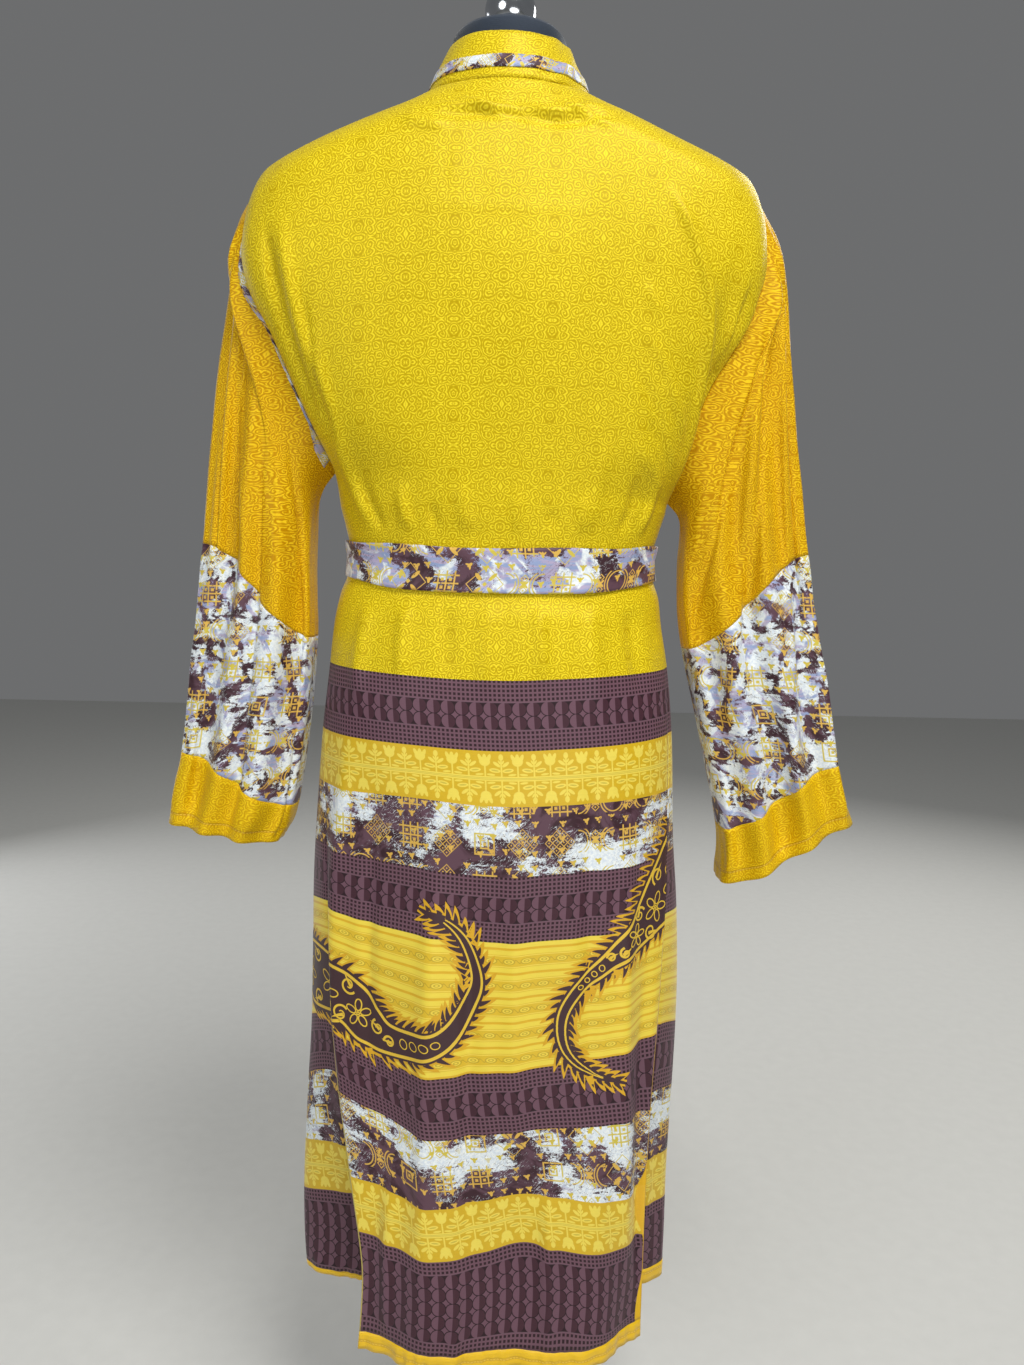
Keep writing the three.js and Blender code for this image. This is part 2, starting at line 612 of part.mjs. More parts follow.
function addSleeve(side) {
  const stops = [...SLEEVE_STOPS.upper, ...SLEEVE_STOPS.print.slice(1), ...SLEEVE_STOPS.cuff.slice(1)];
  const grid = stops.map((at) => shiftedFromArmhole(side, sleeveRing(side, at)));
  let normals = directions(grid, true);
  const backward = normals[1][Math.floor(YOKE_ROWS / 2)].y < 0;
  if (backward) normals = flipped(normals);
  normals[0] = ringOut[side].map((n) => n.clone());
  const upperEnd = SLEEVE_STOPS.upper.length - 1;
  const printEnd = upperEnd + SLEEVE_STOPS.print.length - 1;
  const part = (from, to, name, finish, edges) => addSheet(`sleeve_${side}_${name}`,
    grid.slice(from, to), normals.slice(from, to), finish, edges, WALL, true);
  part(0, upperEnd + 1, 'upper', 'sleeve', ['foot']);
  part(upperEnd, printEnd + 1, 'print', 'print', ['top', 'foot']);
  part(printEnd, grid.length, 'cuff', 'hem', ['top']);
  return { grid, normals };
}

const leftSleeve = addSleeve('left');
addSleeve('right');

// A printed strip lies on the left sleeve, along the armhole seam.
// It stops short of the underarm on both faces.
const stripOrder = Array.from({ length: 2 * YOKE_ROWS - 3 }, (_, i) => (
  (i + YOKE_ROWS + 3) % (2 * YOKE_ROWS)
));
const stripEdge = (share) => stripOrder.map((i) => {
  const p = leftSleeve.grid[0][i];
  const next = leftSleeve.grid[1][i];
  const run = p.distanceTo(next);
  return p.clone().lerp(next, Math.min(0.9, ARMHOLE_STRIP.start + share * ARMHOLE_STRIP.width / run));
});
const armholeStrip = [stripEdge(0), stripEdge(1)];
const armholeStripOut = [0, 1].map(() => stripOrder.map((i) => (
  leftSleeve.normals[0][i].clone().add(leftSleeve.normals[1][i]).normalize()
)));
add('armhole_strip_left', solidBetween(
  moved(armholeStrip, armholeStripOut, LAY_GAP + TRIM_WALL),
  moved(armholeStrip, armholeStripOut, LAY_GAP),
), 'print');

// ---- belt ----
const beltClear = (angle) => mix(BELT.clear, BELT.frontClear, smooth(-Math.sin(angle) * 1.6));

function beltPoint(angle, share, proud) {
  const backness = Math.max(0, Math.sin(angle)) ** 2;
  const top = mix(BELT_EDGES.topSide, BELT_EDGES.topBack, backness);
  const foot = mix(BELT_EDGES.footSide, BELT_EDGES.footBack, backness);
  const p = skirtPoint(angle, mix(top, foot, share));
  const by = beltClear(angle) + proud;
  return p.add(point(Math.cos(angle) * by, Math.sin(angle) * by, 0));
}

function beltGrid(proud) {
  return Array.from({ length: BELT.rows + 1 }, (_, r) => (
    Array.from({ length: BELT.columns }, (_unused, c) => (
      beltPoint(2 * Math.PI * c / BELT.columns, r / BELT.rows, proud)
    ))
  ));
}

add('belt', solidBetween(beltGrid(BELT.wall), beltGrid(0), true), 'print');

// The knot stands on the belt at the centre front, a rounded cushion of stacked rings.
const beltFront = beltPoint(-Math.PI / 2, 0.5, BELT.wall);
const knotShares = [0.55, 0.9, 1, 0.9, 0.55];

function knotGeometry() {
  const sides = 12;
  const positions = [];
  const index = [];
  knotShares.forEach((scale, layer) => {
    const out = KNOT.gap + KNOT.depth * layer / (knotShares.length - 1);
    for (let i = 0; i < sides; i += 1) {
      const turn = 2 * Math.PI * i / sides;
      positions.push(beltFront.x + Math.cos(turn) * scale * KNOT.width / 2);
      positions.push(beltFront.y - out);
      positions.push(beltFront.z + Math.sin(turn) * scale * KNOT.height / 2);
    }
  });
  const rings3 = knotShares.length;
  for (let layer = 0; layer < rings3 - 1; layer += 1) {
    for (let i = 0; i < sides; i += 1) {
      const a = layer * sides + i;
      const b = layer * sides + (i + 1) % sides;
      index.push(a, b, b + sides, a, b + sides, a + sides);
    }
  }
  for (let i = 1; i < sides - 1; i += 1) {
    index.push(0, i + 1, i);
    const base = (rings3 - 1) * sides;
    index.push(base, base + i, base + i + 1);
  }
  return facingOut(positions, index);
}

add('belt_knot', knotGeometry(), 'print');

// Two tails hang from the knot, clear of the front panels.
function addTail(name, mirror) {
  const topZ = beltFront.z - KNOT.height / 2 - TAIL.gap;
  const rows = Array.from({ length: TAIL.rows + 1 }, (_, r) => {
    const z = topZ - TAIL.length * r / TAIL.rows;
    const centre = mirror * (TAIL.width / 2 + 1 + TAIL.spread * (topZ - z));
    return [-1, 0, 1].map((edge) => {
      const x = centre + edge * TAIL.width / 2;
      const half = read(WIDTH, z, x > 0 ? 'left' : 'right');
      const angle = angleAt(x, half);
      const p = skirtPoint(angle, z);
      const by = BELT.frontClear + TAIL.clear + TAIL.wall;
      return point(x, p.y - by, z);
    });
  });
  let normals = directions(rows, false);
  if (normals[1][1].y > 0) normals = flipped(normals);
  addSheet(name, rows, normals, 'print', [], TAIL.wall);
}

addTail('belt_tail_left', 1);
addTail('belt_tail_right', -1);

// ---- dress form ----
function formGeometry() {
  const curve = (v) => Math.sign(v) * Math.abs(v) ** (2 / FORM_SQUARENESS);
  const positions = [];
  const index = [];
  FORM.forEach((row) => {
    for (let i = 0; i < FORM_COLUMNS; i += 1) {
      const angle = 2 * Math.PI * i / FORM_COLUMNS;
      positions.push(row.half * curve(Math.cos(angle)));
      positions.push((Math.sin(angle) > 0 ? row.back : row.front) * curve(Math.sin(angle)));
      positions.push(row.z);
    }
  });
  for (let r = 0; r < FORM.length - 1; r += 1) {
    for (let i = 0; i < FORM_COLUMNS; i += 1) {
      const a = r * FORM_COLUMNS + i;
      const b = r * FORM_COLUMNS + (i + 1) % FORM_COLUMNS;
      index.push(a, b, b + FORM_COLUMNS, a, b + FORM_COLUMNS, a + FORM_COLUMNS);
    }
  }
  const topRow = (FORM.length - 1) * FORM_COLUMNS;
  for (let i = 1; i < FORM_COLUMNS - 1; i += 1) {
    index.push(0, i + 1, i);
    index.push(topRow, topRow + i, topRow + i + 1);
  }
  return facingOut(positions, index);
}

add('form_torso', formGeometry(), 'form');

// ---- turned pieces: profiles are [radius, height] from the foot up ----
function turned(profile, segments) {
  const geometry = new THREE.LatheGeometry(
    profile.map(([radius, height]) => new THREE.Vector2(radius, height)), segments);
  geometry.rotateX(Math.PI / 2);
  return geometry;
}

const neckTop = FORM[FORM.length - 1].z;
const ballSteps = 8;
const ballStart = Math.asin(NECK_KNOB.footRadius / NECK_KNOB.radius);
const ballProfile = Array.from({ length: ballSteps + 1 }, (_, i) => {
  const turn = mix(ballStart, Math.PI, i / ballSteps);
  const centre = NECK_KNOB.footHeight + NECK_KNOB.radius * Math.cos(ballStart);
  const radius = i === ballSteps ? 0 : NECK_KNOB.radius * Math.sin(turn);
  return [radius, centre - NECK_KNOB.radius * Math.cos(turn)];
});
const knob = add('neck_knob', turned([[0, 0], [NECK_KNOB.footRadius, 0], ...ballProfile], 16), 'chrome');
knob.position.set(0, NECK_KNOB.y, neckTop + PIECE_GAP);

const formFoot = FORM[0].z;
const poleFoot = BASE.height + PIECE_GAP;
const poleTop = formFoot - PIECE_GAP;
add('stand_pole', turned([
  [0, poleFoot],
  [POLE.footRadius, poleFoot],
  [POLE.radius, poleFoot + POLE.footHeight],
  [POLE.radius, poleTop - POLE.collarHeight],
  [POLE.collarRadius, poleTop - POLE.collarHeight],
  [POLE.collarRadius, poleTop],
  [0, poleTop],
], POLE.segments), 'stand');

add('stand_base', turned([
  [0, 0],
  [BASE.radius, 0],
  [BASE.radius, BASE.height - BASE.edge],
  [BASE.radius - BASE.edge, BASE.height],
  [0, BASE.height],
], BASE.segments), 'stand');

export default robe;
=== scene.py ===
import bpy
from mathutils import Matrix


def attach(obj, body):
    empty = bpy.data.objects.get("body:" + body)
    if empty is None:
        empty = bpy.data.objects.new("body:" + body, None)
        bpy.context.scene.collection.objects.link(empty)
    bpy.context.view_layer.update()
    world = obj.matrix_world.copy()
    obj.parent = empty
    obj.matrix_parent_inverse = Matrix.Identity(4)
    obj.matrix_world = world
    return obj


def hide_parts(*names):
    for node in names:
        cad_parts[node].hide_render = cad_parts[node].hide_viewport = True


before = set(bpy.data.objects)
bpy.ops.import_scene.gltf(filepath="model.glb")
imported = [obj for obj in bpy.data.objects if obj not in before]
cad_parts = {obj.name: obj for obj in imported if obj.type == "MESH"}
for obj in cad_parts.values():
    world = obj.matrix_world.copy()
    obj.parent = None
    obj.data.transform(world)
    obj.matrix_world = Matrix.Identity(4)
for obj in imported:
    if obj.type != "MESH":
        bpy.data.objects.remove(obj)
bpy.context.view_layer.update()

import copy
import functools
import math

import bmesh
import bpy
import numpy as np
from mathutils import Matrix, Vector

# Sizes are in millimetres, as in the CAD source, and become metres where a mesh is made.
MM = 0.001

# ---------------------------------------------------------------- camera
CAMERA_AT = (-14.0, 1040.0, 1013.0)
CAMERA_PITCH, CAMERA_ROLL = math.radians(6.7), math.radians(1.15)
CAMERA_LENS, CAMERA_SENSOR = 27.19, 36.0


def make_camera():
    data = bpy.data.cameras.new("camera")
    data.sensor_width = CAMERA_SENSOR
    data.lens = CAMERA_LENS
    camera = bpy.data.objects.new("camera", data)
    bpy.context.scene.collection.objects.link(camera)
    forward = Vector((0, -math.cos(CAMERA_PITCH), -math.sin(CAMERA_PITCH)))
    right = Vector((-1, 0, 0))
    down = Vector((0, math.sin(CAMERA_PITCH), -math.cos(CAMERA_PITCH)))
    c, s = math.cos(CAMERA_ROLL), math.sin(CAMERA_ROLL)
    turn = Matrix((right * c - down * s, -(right * s + down * c), -forward)).transposed()
    camera.matrix_world = Matrix.Translation(Vector(CAMERA_AT) * MM) @ turn.to_4x4()
    bpy.context.scene.camera = camera


make_camera()


# ---------------------------------------------------------------- tables of the cut
def table(names, *rows):
    return {n: np.array([r[i] for r in rows], float) for i, n in enumerate(names.split())}


SHOULDER_HALF, SHOULDER_Z = 228, 1380
NECK_HALF, NECK_BACK, NECK_FRONT, NECK_Z, NECK_DIP = 80, 82, 60, 1439, 5
UNDERARM_Z, UNDERARM_TILT = 1086, 12
SQUARENESS = 2.3
SHOULDER_ROUND = 50
LAP, LAP_ANGLE, LAP_DOWN = 2.4, math.pi / 4, 0.25
HEM = {"back": 232, "left": 254, "right": 250}
HEM_SEAM = {"back": 251, "left": 258, "right": 271}
SIDES = (("left", 1), ("right", -1))
FIRST_ROW = 1062
BODY_CENTRE = (0, 0, 900)
BACK_STEP, FRONT_STEP = 5.0, 6.0
HEM_WALL, STRIP_WALL, BELT_WALL = 1.6, 0.6, 1.2

# Half widths of the robe at each height, on either side.
WIDTH = table(
    "at left right",
    (250, 195, 188), (300, 198, 189), (360, 199, 190), (440, 195, 192), (520, 190, 192),
    (604, 187, 191), (674, 185, 188), (742, 182, 182), (842, 177, 176), (910, 169, 169),
    (952, 164, 162), (980, 158, 158), (998, 151, 152), (1028, 150, 152), (1042, 153, 156),
    (1070, 160, 164), (1098, 164, 167))
# How far it reaches to the back and to the front at each height.
DEPTH = table(
    "at back front",
    (232, 124, 116), (500, 120, 114), (674, 118, 112), (800, 117, 110), (900, 110, 106),
    (960, 97, 100), (984, 89, 95), (1024, 88, 94), (1060, 93, 100), (1150, 103, 110),
    (1200, 107.2, 111.8), (1250, 109.6, 111.5), (1290, 109.6, 108.6), (1330, 107.2, 102.6),
    (1365, 103, 95), (1400, 97, 86), (1420, 91.6, 77), (1439, 84, 66))
# The armholes, by the share of the way down: half widths and depth.
ARMHOLE = table(
    "at left right deep",
    (0, 228, 228, 26), (0.12, 235, 236, 36), (0.21, 240, 241, 42), (0.34, 242, 240, 48),
    (0.46, 233, 226, 50), (0.55, 219, 214, 51), (0.67, 204, 193, 50), (0.81, 187, 178, 44),
    (0.92, 173, 170, 30), (1, 164, 164, 0))
# The side seams at each height: degrees towards the back, and how far out the part of the
# front behind the sides stands.
SIDE_SEAM = table(
    "at left right leftTuck rightTuck",
    (232, 52, 34, 0.3, 0.3), (326, 54, 35, 0.34, 0.34), (439, 47, 36, 0.45, 0.45),
    (504, 41, 35, 0.6, 0.6), (568, 36, 33, 0.76, 0.76), (640, 33, 30, 0.9, 0.9),
    (710, 30, 26, 1, 1), (800, 23, 20, 1, 1), (900, 14, 14, 1, 1), (1020, 4, 4, 1, 1),
    (1074, 0, 0, 1, 1))
# The left front's edge at each height; the right front's is its mirror image.
FRONT_EDGE = table(
    "at x",
    (232, -50), (500, -42), (800, -30), (900, -22), (1024, -6), (1100, 8), (1200, 27),
    (1300, 47), (1400, 70), (1439, 80))
# Degrees round the body, rise, width in degrees, height where it starts.
SKIRT_FOLDS = [
    (60, -6, 9, 900), (77, 9, 9, 930), (96, -6, 8, 760), (119, 9, 11, 880), (139, -5, 8, 700),
    (204, 6, 9, 820), (226, -5, 9, 900), (252, 8, 10, 860), (283, -6, 9, 780),
    (305, 8, 10, 920), (333, -5, 9, 760)]
FOLD_RUN = 620
BAND = {"width": 42, "lift": 0.4, "lean": 22, "rise": 48, "backRise": 45, "turnDown": 110}
BAND_STRIP = (0.2, 0.46)
# The sleeves' outer and inner folds and half depth, by place: 0 at the armhole, 1 at the
# printed band, 2 at the cuff and 3 at its edge.
SLEEVE = {
    "left": table(
        "at outX outZ inX inZ deep",
        (0, 228, 1380, 164, 1098, 50), (0.12, 250, 1335, 177, 1080, 49),
        (0.3, 257, 1270, 184, 1054, 47), (0.55, 269, 1180, 186, 1012, 45),
        (0.8, 278, 1095, 185, 968, 43), (1, 285, 1024, 185, 934, 42),
        (1.5, 299, 922, 192, 850, 41), (2, 312, 817, 204, 764, 42), (3, 331, 745, 219, 727, 44)),
    "right": table(
        "at outX outZ inX inZ deep",
        (0, -228, 1380, -164, 1074, 50), (0.12, -250, 1337, -176, 1060, 49),
        (0.3, -263, 1285, -180, 1038, 47), (0.55, -275, 1190, -179, 1008, 45),
        (0.8, -288, 1098, -180, 968, 43), (1, -299, 1025, -186, 930, 42),
        (1.5, -318, 920, -205, 852, 41), (2, -340, 818, -228, 750, 42),
        (3, -362, 757, -230, 693, 44)),
}
SLEEVE_SETTLE, SLEEVE_SLANT = 0.45, 0.8
SLEEVE_RIPPLE = {"count": 3, "rise": 7, "start": 0.1, "full": 1, "back": 0.15, "front": 0.6}
BELT = {"clear": 1, "frontClear": 5.2, "wall": 1.8}
BELT_EDGES = {"topSide": 1030, "topBack": 1025, "footSide": 996, "footBack": 983}
BELT_MIDDLE, KNOT_Z = 1006, 1013
KNOT = {"width": 46, "height": 34, "depth": 20, "gap": 0.7}
TAIL = {"width": 38, "length": 360, "clear": 0.6, "gap": 0.4, "spread": 0.1, "wall": 1.6}
# The dress form's half width, and its depth behind and in front, at each height.
FORM = table(
    "at half back front",
    (776, 128, 84, 80), (790, 142, 96, 92), (850, 151, 101, 96), (920, 145, 92, 90),
    (1005, 121, 76, 78), (1080, 130, 80, 88), (1160, 142, 88, 98), (1240, 152, 93, 98),
    (1310, 164, 88, 84), (1355, 174, 76, 70), (1380, 180, 64, 58), (1394, 174, 52, 46),
    (1404, 161, 48, 42), (1416, 131, 45, 39), (1428, 101, 46, 39), (1436, 79, 50, 42),
    (1446, 58, 60, 48), (1470, 54, 60, 48), (1494, 54, 60, 48), (1498, 51, 57, 45))
FORM_SQUARENESS = 2.1

# The printed border: each band's lowest and highest level, and its rows of circles.
BORDER = [
    ("maroon", 251, 342, 5), ("tulip", 342, 397, 0), ("print", 397, 466, 0),
    ("maroon", 466, 530, 2), ("stripes", 530, 659, 0), ("maroon", 659, 724, 2),
    ("print", 724, 786, 0), ("tulip", 786, 841, 0), ("maroon", 841, 906, 2)]
BORDER_TOP, BORDER_MIDDLE = 906, 600
SAG_SHARES = np.array([0, 0.15, 0.34, 0.5, 0.62, 0.8, 1.0])
# How far each printed line hangs above its level, from the left seam to the right.
BORDER_SAG = table(
    "at a b c d e f g",
    (232, 0, 0, 0, 0, 0, 0, 0), (251, 0, 0, 0, 0, 0, 0, 0), (262, 4, 3, 1, 4, 8, -4, -3),
    (342, 15, 11, 7, 20, 14, 5, 2), (397, 16, 11, 4, 15, 13, 3, 0), (466, 30, 17, 3, 9, 13, 12, 10),
    (530, 27, 12, 0, 5, 11, 17, 24), (659, 21, 12, 7, 2, 5, 8, 12), (724, 13, 9, 6, 0, 3, 5, 8),
    (786, 10, 9, 9, 4, 5, 7, 8), (841, 6, 5, 3, 0, 2, 5, 8), (906, 5, 4, 1, -1, 1, 4, 6),
    (1000, 0, 0, 0, 0, 0, 0, 0), (1062, 0, 0, 0, 0, 0, 0, 0))


# ---------------------------------------------------------------- surfaces
def mix(a, b, share):
    return a + (b - a) * share


def smooth(v):
    v = np.clip(v, 0, 1)
    return v * v * (3 - 2 * v)


def read(rows, at, column):
    """A column of a table at any place, on a smooth curve through its rows."""
    x, y = rows["at"], rows[column]
    at = np.clip(np.asarray(at, float), x[0], x[-1])
    i = np.clip(np.searchsorted(x, at, side="right") - 1, 0, len(x) - 2)
    slope = np.empty(len(x))
    slope[0] = (y[1] - y[0]) / (x[1] - x[0])
    slope[-1] = (y[-1] - y[-2]) / (x[-1] - x[-2])
    slope[1:-1] = (y[2:] - y[:-2]) / (x[2:] - x[:-2])
    run = x[i + 1] - x[i]
    t = (at - x[i]) / run
    curve = mix(y[i], y[i + 1], t * t * (3 - 2 * t))
    return curve + t * (1 - t) ** 2 * run * slope[i] + t * t * (t - 1) * run * slope[i + 1]


def lobe(v, squareness=SQUARENESS):
    return np.sign(v) * np.abs(v) ** (2 / squareness)


def unlobe(v):
    return np.sign(v) * np.abs(v) ** (SQUARENESS / 2)


def points(x, y, z):
    return np.stack(np.broadcast_arrays(x, y, z), -1).astype(float)


def by_side(rows, at, angle):
    return np.where(np.cos(angle) >= 0, read(rows, at, "left"), read(rows, at, "right"))


def yoke(angle, down, facing):
    """The body above the underarm. facing is 1 on the back and -1 in front."""
    x_top = SHOULDER_HALF * lobe(np.cos(angle))
    reach = np.abs(x_top) / NECK_HALF
    arc = np.sqrt(np.clip(1 - reach ** 2, 0, 1))
    slope = mix(NECK_Z, SHOULDER_Z, (np.abs(x_top) - NECK_HALF) / (SHOULDER_HALF - NECK_HALF))
    if facing > 0:
        y_in, z_in = NECK_BACK * arc, NECK_Z - NECK_DIP * arc
    else:
        y_in, z_in = -NECK_FRONT * arc, NECK_Z + 0 * arc
    y_top = np.where(reach < 1, y_in, 0)
    z_top = np.where(reach < 1, z_in, slope)
    z = mix(z_top, UNDERARM_Z + UNDERARM_TILT * np.cos(angle), down)
    x = by_side(ARMHOLE, down, angle) * lobe(np.cos(angle))
    deep = read(ARMHOLE, down, "deep")
    full = read(DEPTH, z, "back" if facing > 0 else "front")
    y = facing * mix(deep, full, np.abs(lobe(np.sin(angle))))
    fall = 1 - np.clip((z_top - z) / SHOULDER_ROUND, 0, 1)
    return points(x, mix(y_top, y, np.sqrt(1 - fall * fall)), z)


def fold_at(angle, z):
    degrees = np.degrees(angle) % 360
    rise = 0
    for at, height, width, top in SKIRT_FOLDS:
        away = (degrees - at + 540) % 360 - 180
        rise = rise + height * smooth((top - z) / FOLD_RUN) * np.exp(-(away / width) ** 2)
    return rise


def skirt(angle, z):
    fold = fold_at(angle, z)
    depth = np.where(np.sin(angle) >= 0, read(DEPTH, z, "back"), read(DEPTH, z, "front"))
    x = by_side(WIDTH, z, angle) * lobe(np.cos(angle))
    y = depth * lobe(np.sin(angle))
    return points(x + fold * np.cos(angle), y + fold * np.sin(angle), z)


def seam_angle(z, side):
    return np.radians(read(SIDE_SEAM, z, side))


def angle_at(x, half):
    return -np.arccos(unlobe(np.clip(x / half, -1, 1)))


def lifted(p, angle, lift):
    return p + points(np.cos(angle) * lift, np.sin(angle) * lift, 0 * lift)


def mirrored(angle, mirror):
    return angle if mirror > 0 else math.pi - angle


def front_yoke(share, down, mirror, across=0.0):
    half = read(ARMHOLE, down, "left" if mirror > 0 else "right")
    edge = angle_at(read(FRONT_EDGE, mix(NECK_Z, UNDERARM_Z, down), "x") - across, half)
    angle = edge * share
    lift = mirror * LAP * smooth(-angle / LAP_ANGLE) * smooth(down / LAP_DOWN)
    turned = mirrored(angle, mirror)
    return lifted(yoke(turned, down, -1), turned, lift)


def front_skirt(share, z, mirror, across=0.0):
    side = "left" if mirror > 0 else "right"
    start = seam_angle(z, side)
    edge = angle_at(read(FRONT_EDGE, z, "x") - across, read(WIDTH, z, side))
    angle = mix(start, edge, share)
    turned = mirrored(angle, mirror)
    p = skirt(turned, z)
    tuck = read(SIDE_SEAM, z, side + "Tuck")
    p[..., 1] = np.where(p[..., 1] > 0, p[..., 1] * tuck, p[..., 1])
    return lifted(p, turned, mirror * LAP * smooth(-angle / LAP_ANGLE))


# ---------------------------------------------------------------- rows and sheets
def yoke_downs(count):
    return (np.arange(count + 1) / count) ** 1.7


def levels(foot, step):
    """Heights from the first row under the arms down to the foot, with one at each band's edge."""
    stops = [FIRST_ROW, BORDER_TOP] + [b[1] for b in reversed(BORDER) if b[1] > foot + 1] + [foot]
    found = [FIRST_ROW]
    for top, low in zip(stops[:-1], stops[1:]):
        count = max(2, round((top - low) / step))
        found += [mix(top, low, (i + 1) / count) for i in range(count)]
    return np.array(found)


def stacked(a, b, count=5):
    """Joins two stacks of rows, with some rows between them."""
    between = [mix(a[-1], b[0], (i + 1) / (count + 1)) for i in range(count)]
    return np.concatenate([a, np.array(between), b])


def lengths(grid, axis):
    step = np.linalg.norm(np.diff(grid, axis=axis), axis=-1)
    zero = np.zeros_like(np.take(step, [0], axis))
    return np.concatenate([zero, np.cumsum(step, axis)], axis)


def outward(grid, closed, centre):
    """Directions square to the sheet, away from its centre."""
    if closed:
        across = np.roll(grid, -1, 1) - np.roll(grid, 1, 1)
    else:
        across = np.gradient(grid, axis=1)
    normal = np.cross(across, np.gradient(grid, axis=0))
    size = np.linalg.norm(normal, axis=-1, keepdims=True)
    normal = normal / np.maximum(size, 1e-9)
    if np.sum(normal * (grid - centre)) < 0:
        normal = -normal
    return normal


class Sheet:
    """A grid of points of the cloth's outer face, with the place of each in the flat cloth."""

    def __init__(self, grid, centre=BODY_CENTRE, closed=False):
        self.grid = np.array(grid, float)
        self.closed = closed
        self.centre = np.array(centre, float)
        self.normal = outward(self.grid, closed, self.centre)
        self.u = self.v = None

    def wrapped(self):
        """The grid, with its first column once more at the end where it is closed."""
        return np.concatenate([self.grid, self.grid[:, :1]], 1) if self.closed else self.grid

    def place(self, zero_column=None, level_rows=None):
        """u runs across from the zero column. v is the level of the lowest rows, where they
        are given, and runs on along the cloth above them."""
        self.u = lengths(self.wrapped(), 1)
        if zero_column is not None:
            self.u = self.u - self.u[:, zero_column:zero_column + 1]
        down = lengths(self.wrapped(), 0)
        self.v = down[-1:] - down
        if level_rows is not None:
            first = len(self.v) - len(level_rows)
            self.v = self.v - self.v[first:first + 1] + level_rows[0]
            self.v[first:] = level_rows[:, None]
        return self

    def raise_by(self, height):
        self.grid = self.grid + self.normal * np.asarray(height)[..., None]
        self.normal = outward(self.grid, self.closed, self.centre)
        return self

    def part(self, first, last):
        piece = copy.copy(self)
        for name in ("grid", "normal", "u", "v"):
            setattr(piece, name, getattr(self, name)[first:last + 1])
        return piece


def mesh_object(name, vertices, faces, uv, materials, face_material=None, edge=None):
    mesh = bpy.data.meshes.new(name)
    mesh.from_pydata((np.asarray(vertices) * MM).tolist(), [], faces)
    mesh.polygons.foreach_set("use_smooth", [True] * len(mesh.polygons))
    for layer, places in (("cloth", uv), ("edge", edge)):
        if places is not None:
            flat = (np.asarray(places) * MM).astype(np.float32).ravel()
            mesh.uv_layers.new(name=layer).data.foreach_set("uv", flat)
    for m in materials:
        mesh.materials.append(m)
    if face_material is not None:
        mesh.polygons.foreach_set("material_index", face_material)
    mesh.update()
    piece = bpy.data.objects.new(name, mesh)
    bpy.context.scene.collection.objects.link(piece)
    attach(piece, "root")
    return piece


def quads(sheet):
    """Of each face of a sheet: its row, its corners' rows and columns, and their points."""
    rows, columns = sheet.grid.shape[:2]
    spans = columns if sheet.closed else columns - 1
    r, c = (n.ravel() for n in np.meshgrid(np.arange(rows - 1), np.arange(spans), indexing="ij"))
    places = np.stack([np.stack([r + down, c + over], -1)
                       for down, over in ((0, 0), (1, 0), (1, 1), (0, 1))], 1)
    return r, places, places[..., 0] * columns + places[..., 1] % columns


def at_corners(u, v, places):
    return np.stack([n[places[..., 0], places[..., 1]] for n in (u, v)], -1)


def shell(name, sheet, materials, wall=1.1, row_material=None, with_edge=False):
    """A thin closed shell: the sheet's outer face, and its inner one a wall inside it."""
    row, places, corners = quads(sheet)
    flat = sheet.grid.reshape(-1, 3)
    a, b, d = flat[corners[:, 0]], flat[corners[:, 1]], flat[corners[:, 3]]
    if np.sum(np.cross(b - a, d - a) * sheet.normal.reshape(-1, 3)[corners[:, 0]]) < 0:
        corners, places = corners[:, ::-1], places[:, ::-1]
    edge = face_material = None
    if with_edge:
        edge = at_corners(sheet.u - sheet.u[:, :1], sheet.u[:, -1:] - sheet.u, places)
    if row_material is not None:
        face_material = row_material[row].tolist()
    piece = mesh_object(name, flat, corners.tolist(), at_corners(sheet.u, sheet.v, places),
                        materials, face_material, edge)
    solid = piece.modifiers.new("wall", "SOLIDIFY")
    solid.thickness = wall * MM
    solid.offset = -1
    solid.use_rim = True
    return piece


# ---------------------------------------------------------------- creases
def bumps(x, z, rows):
    """Soft ridges and troughs, each along a bowed line. Rows are x, z of both ends, how far the
    middle bows to its left, the width and the height."""
    total = np.zeros(np.broadcast(x, z).shape)
    for x0, z0, x1, z1, bow, width, rise in rows:
        run = math.hypot(x1 - x0, z1 - z0)
        ax, az = (x1 - x0) / run, (z1 - z0) / run
        t = ((x - x0) * ax + (z - z0) * az) / run
        aside = (x - x0) * -az + (z - z0) * ax - bow * 4 * t * (1 - t)
        ends = smooth((t + 0.12) / 0.4) * smooth((1.12 - t) / 0.4)
        total += rise * ends * np.exp(-(aside / width) ** 2)
    return total


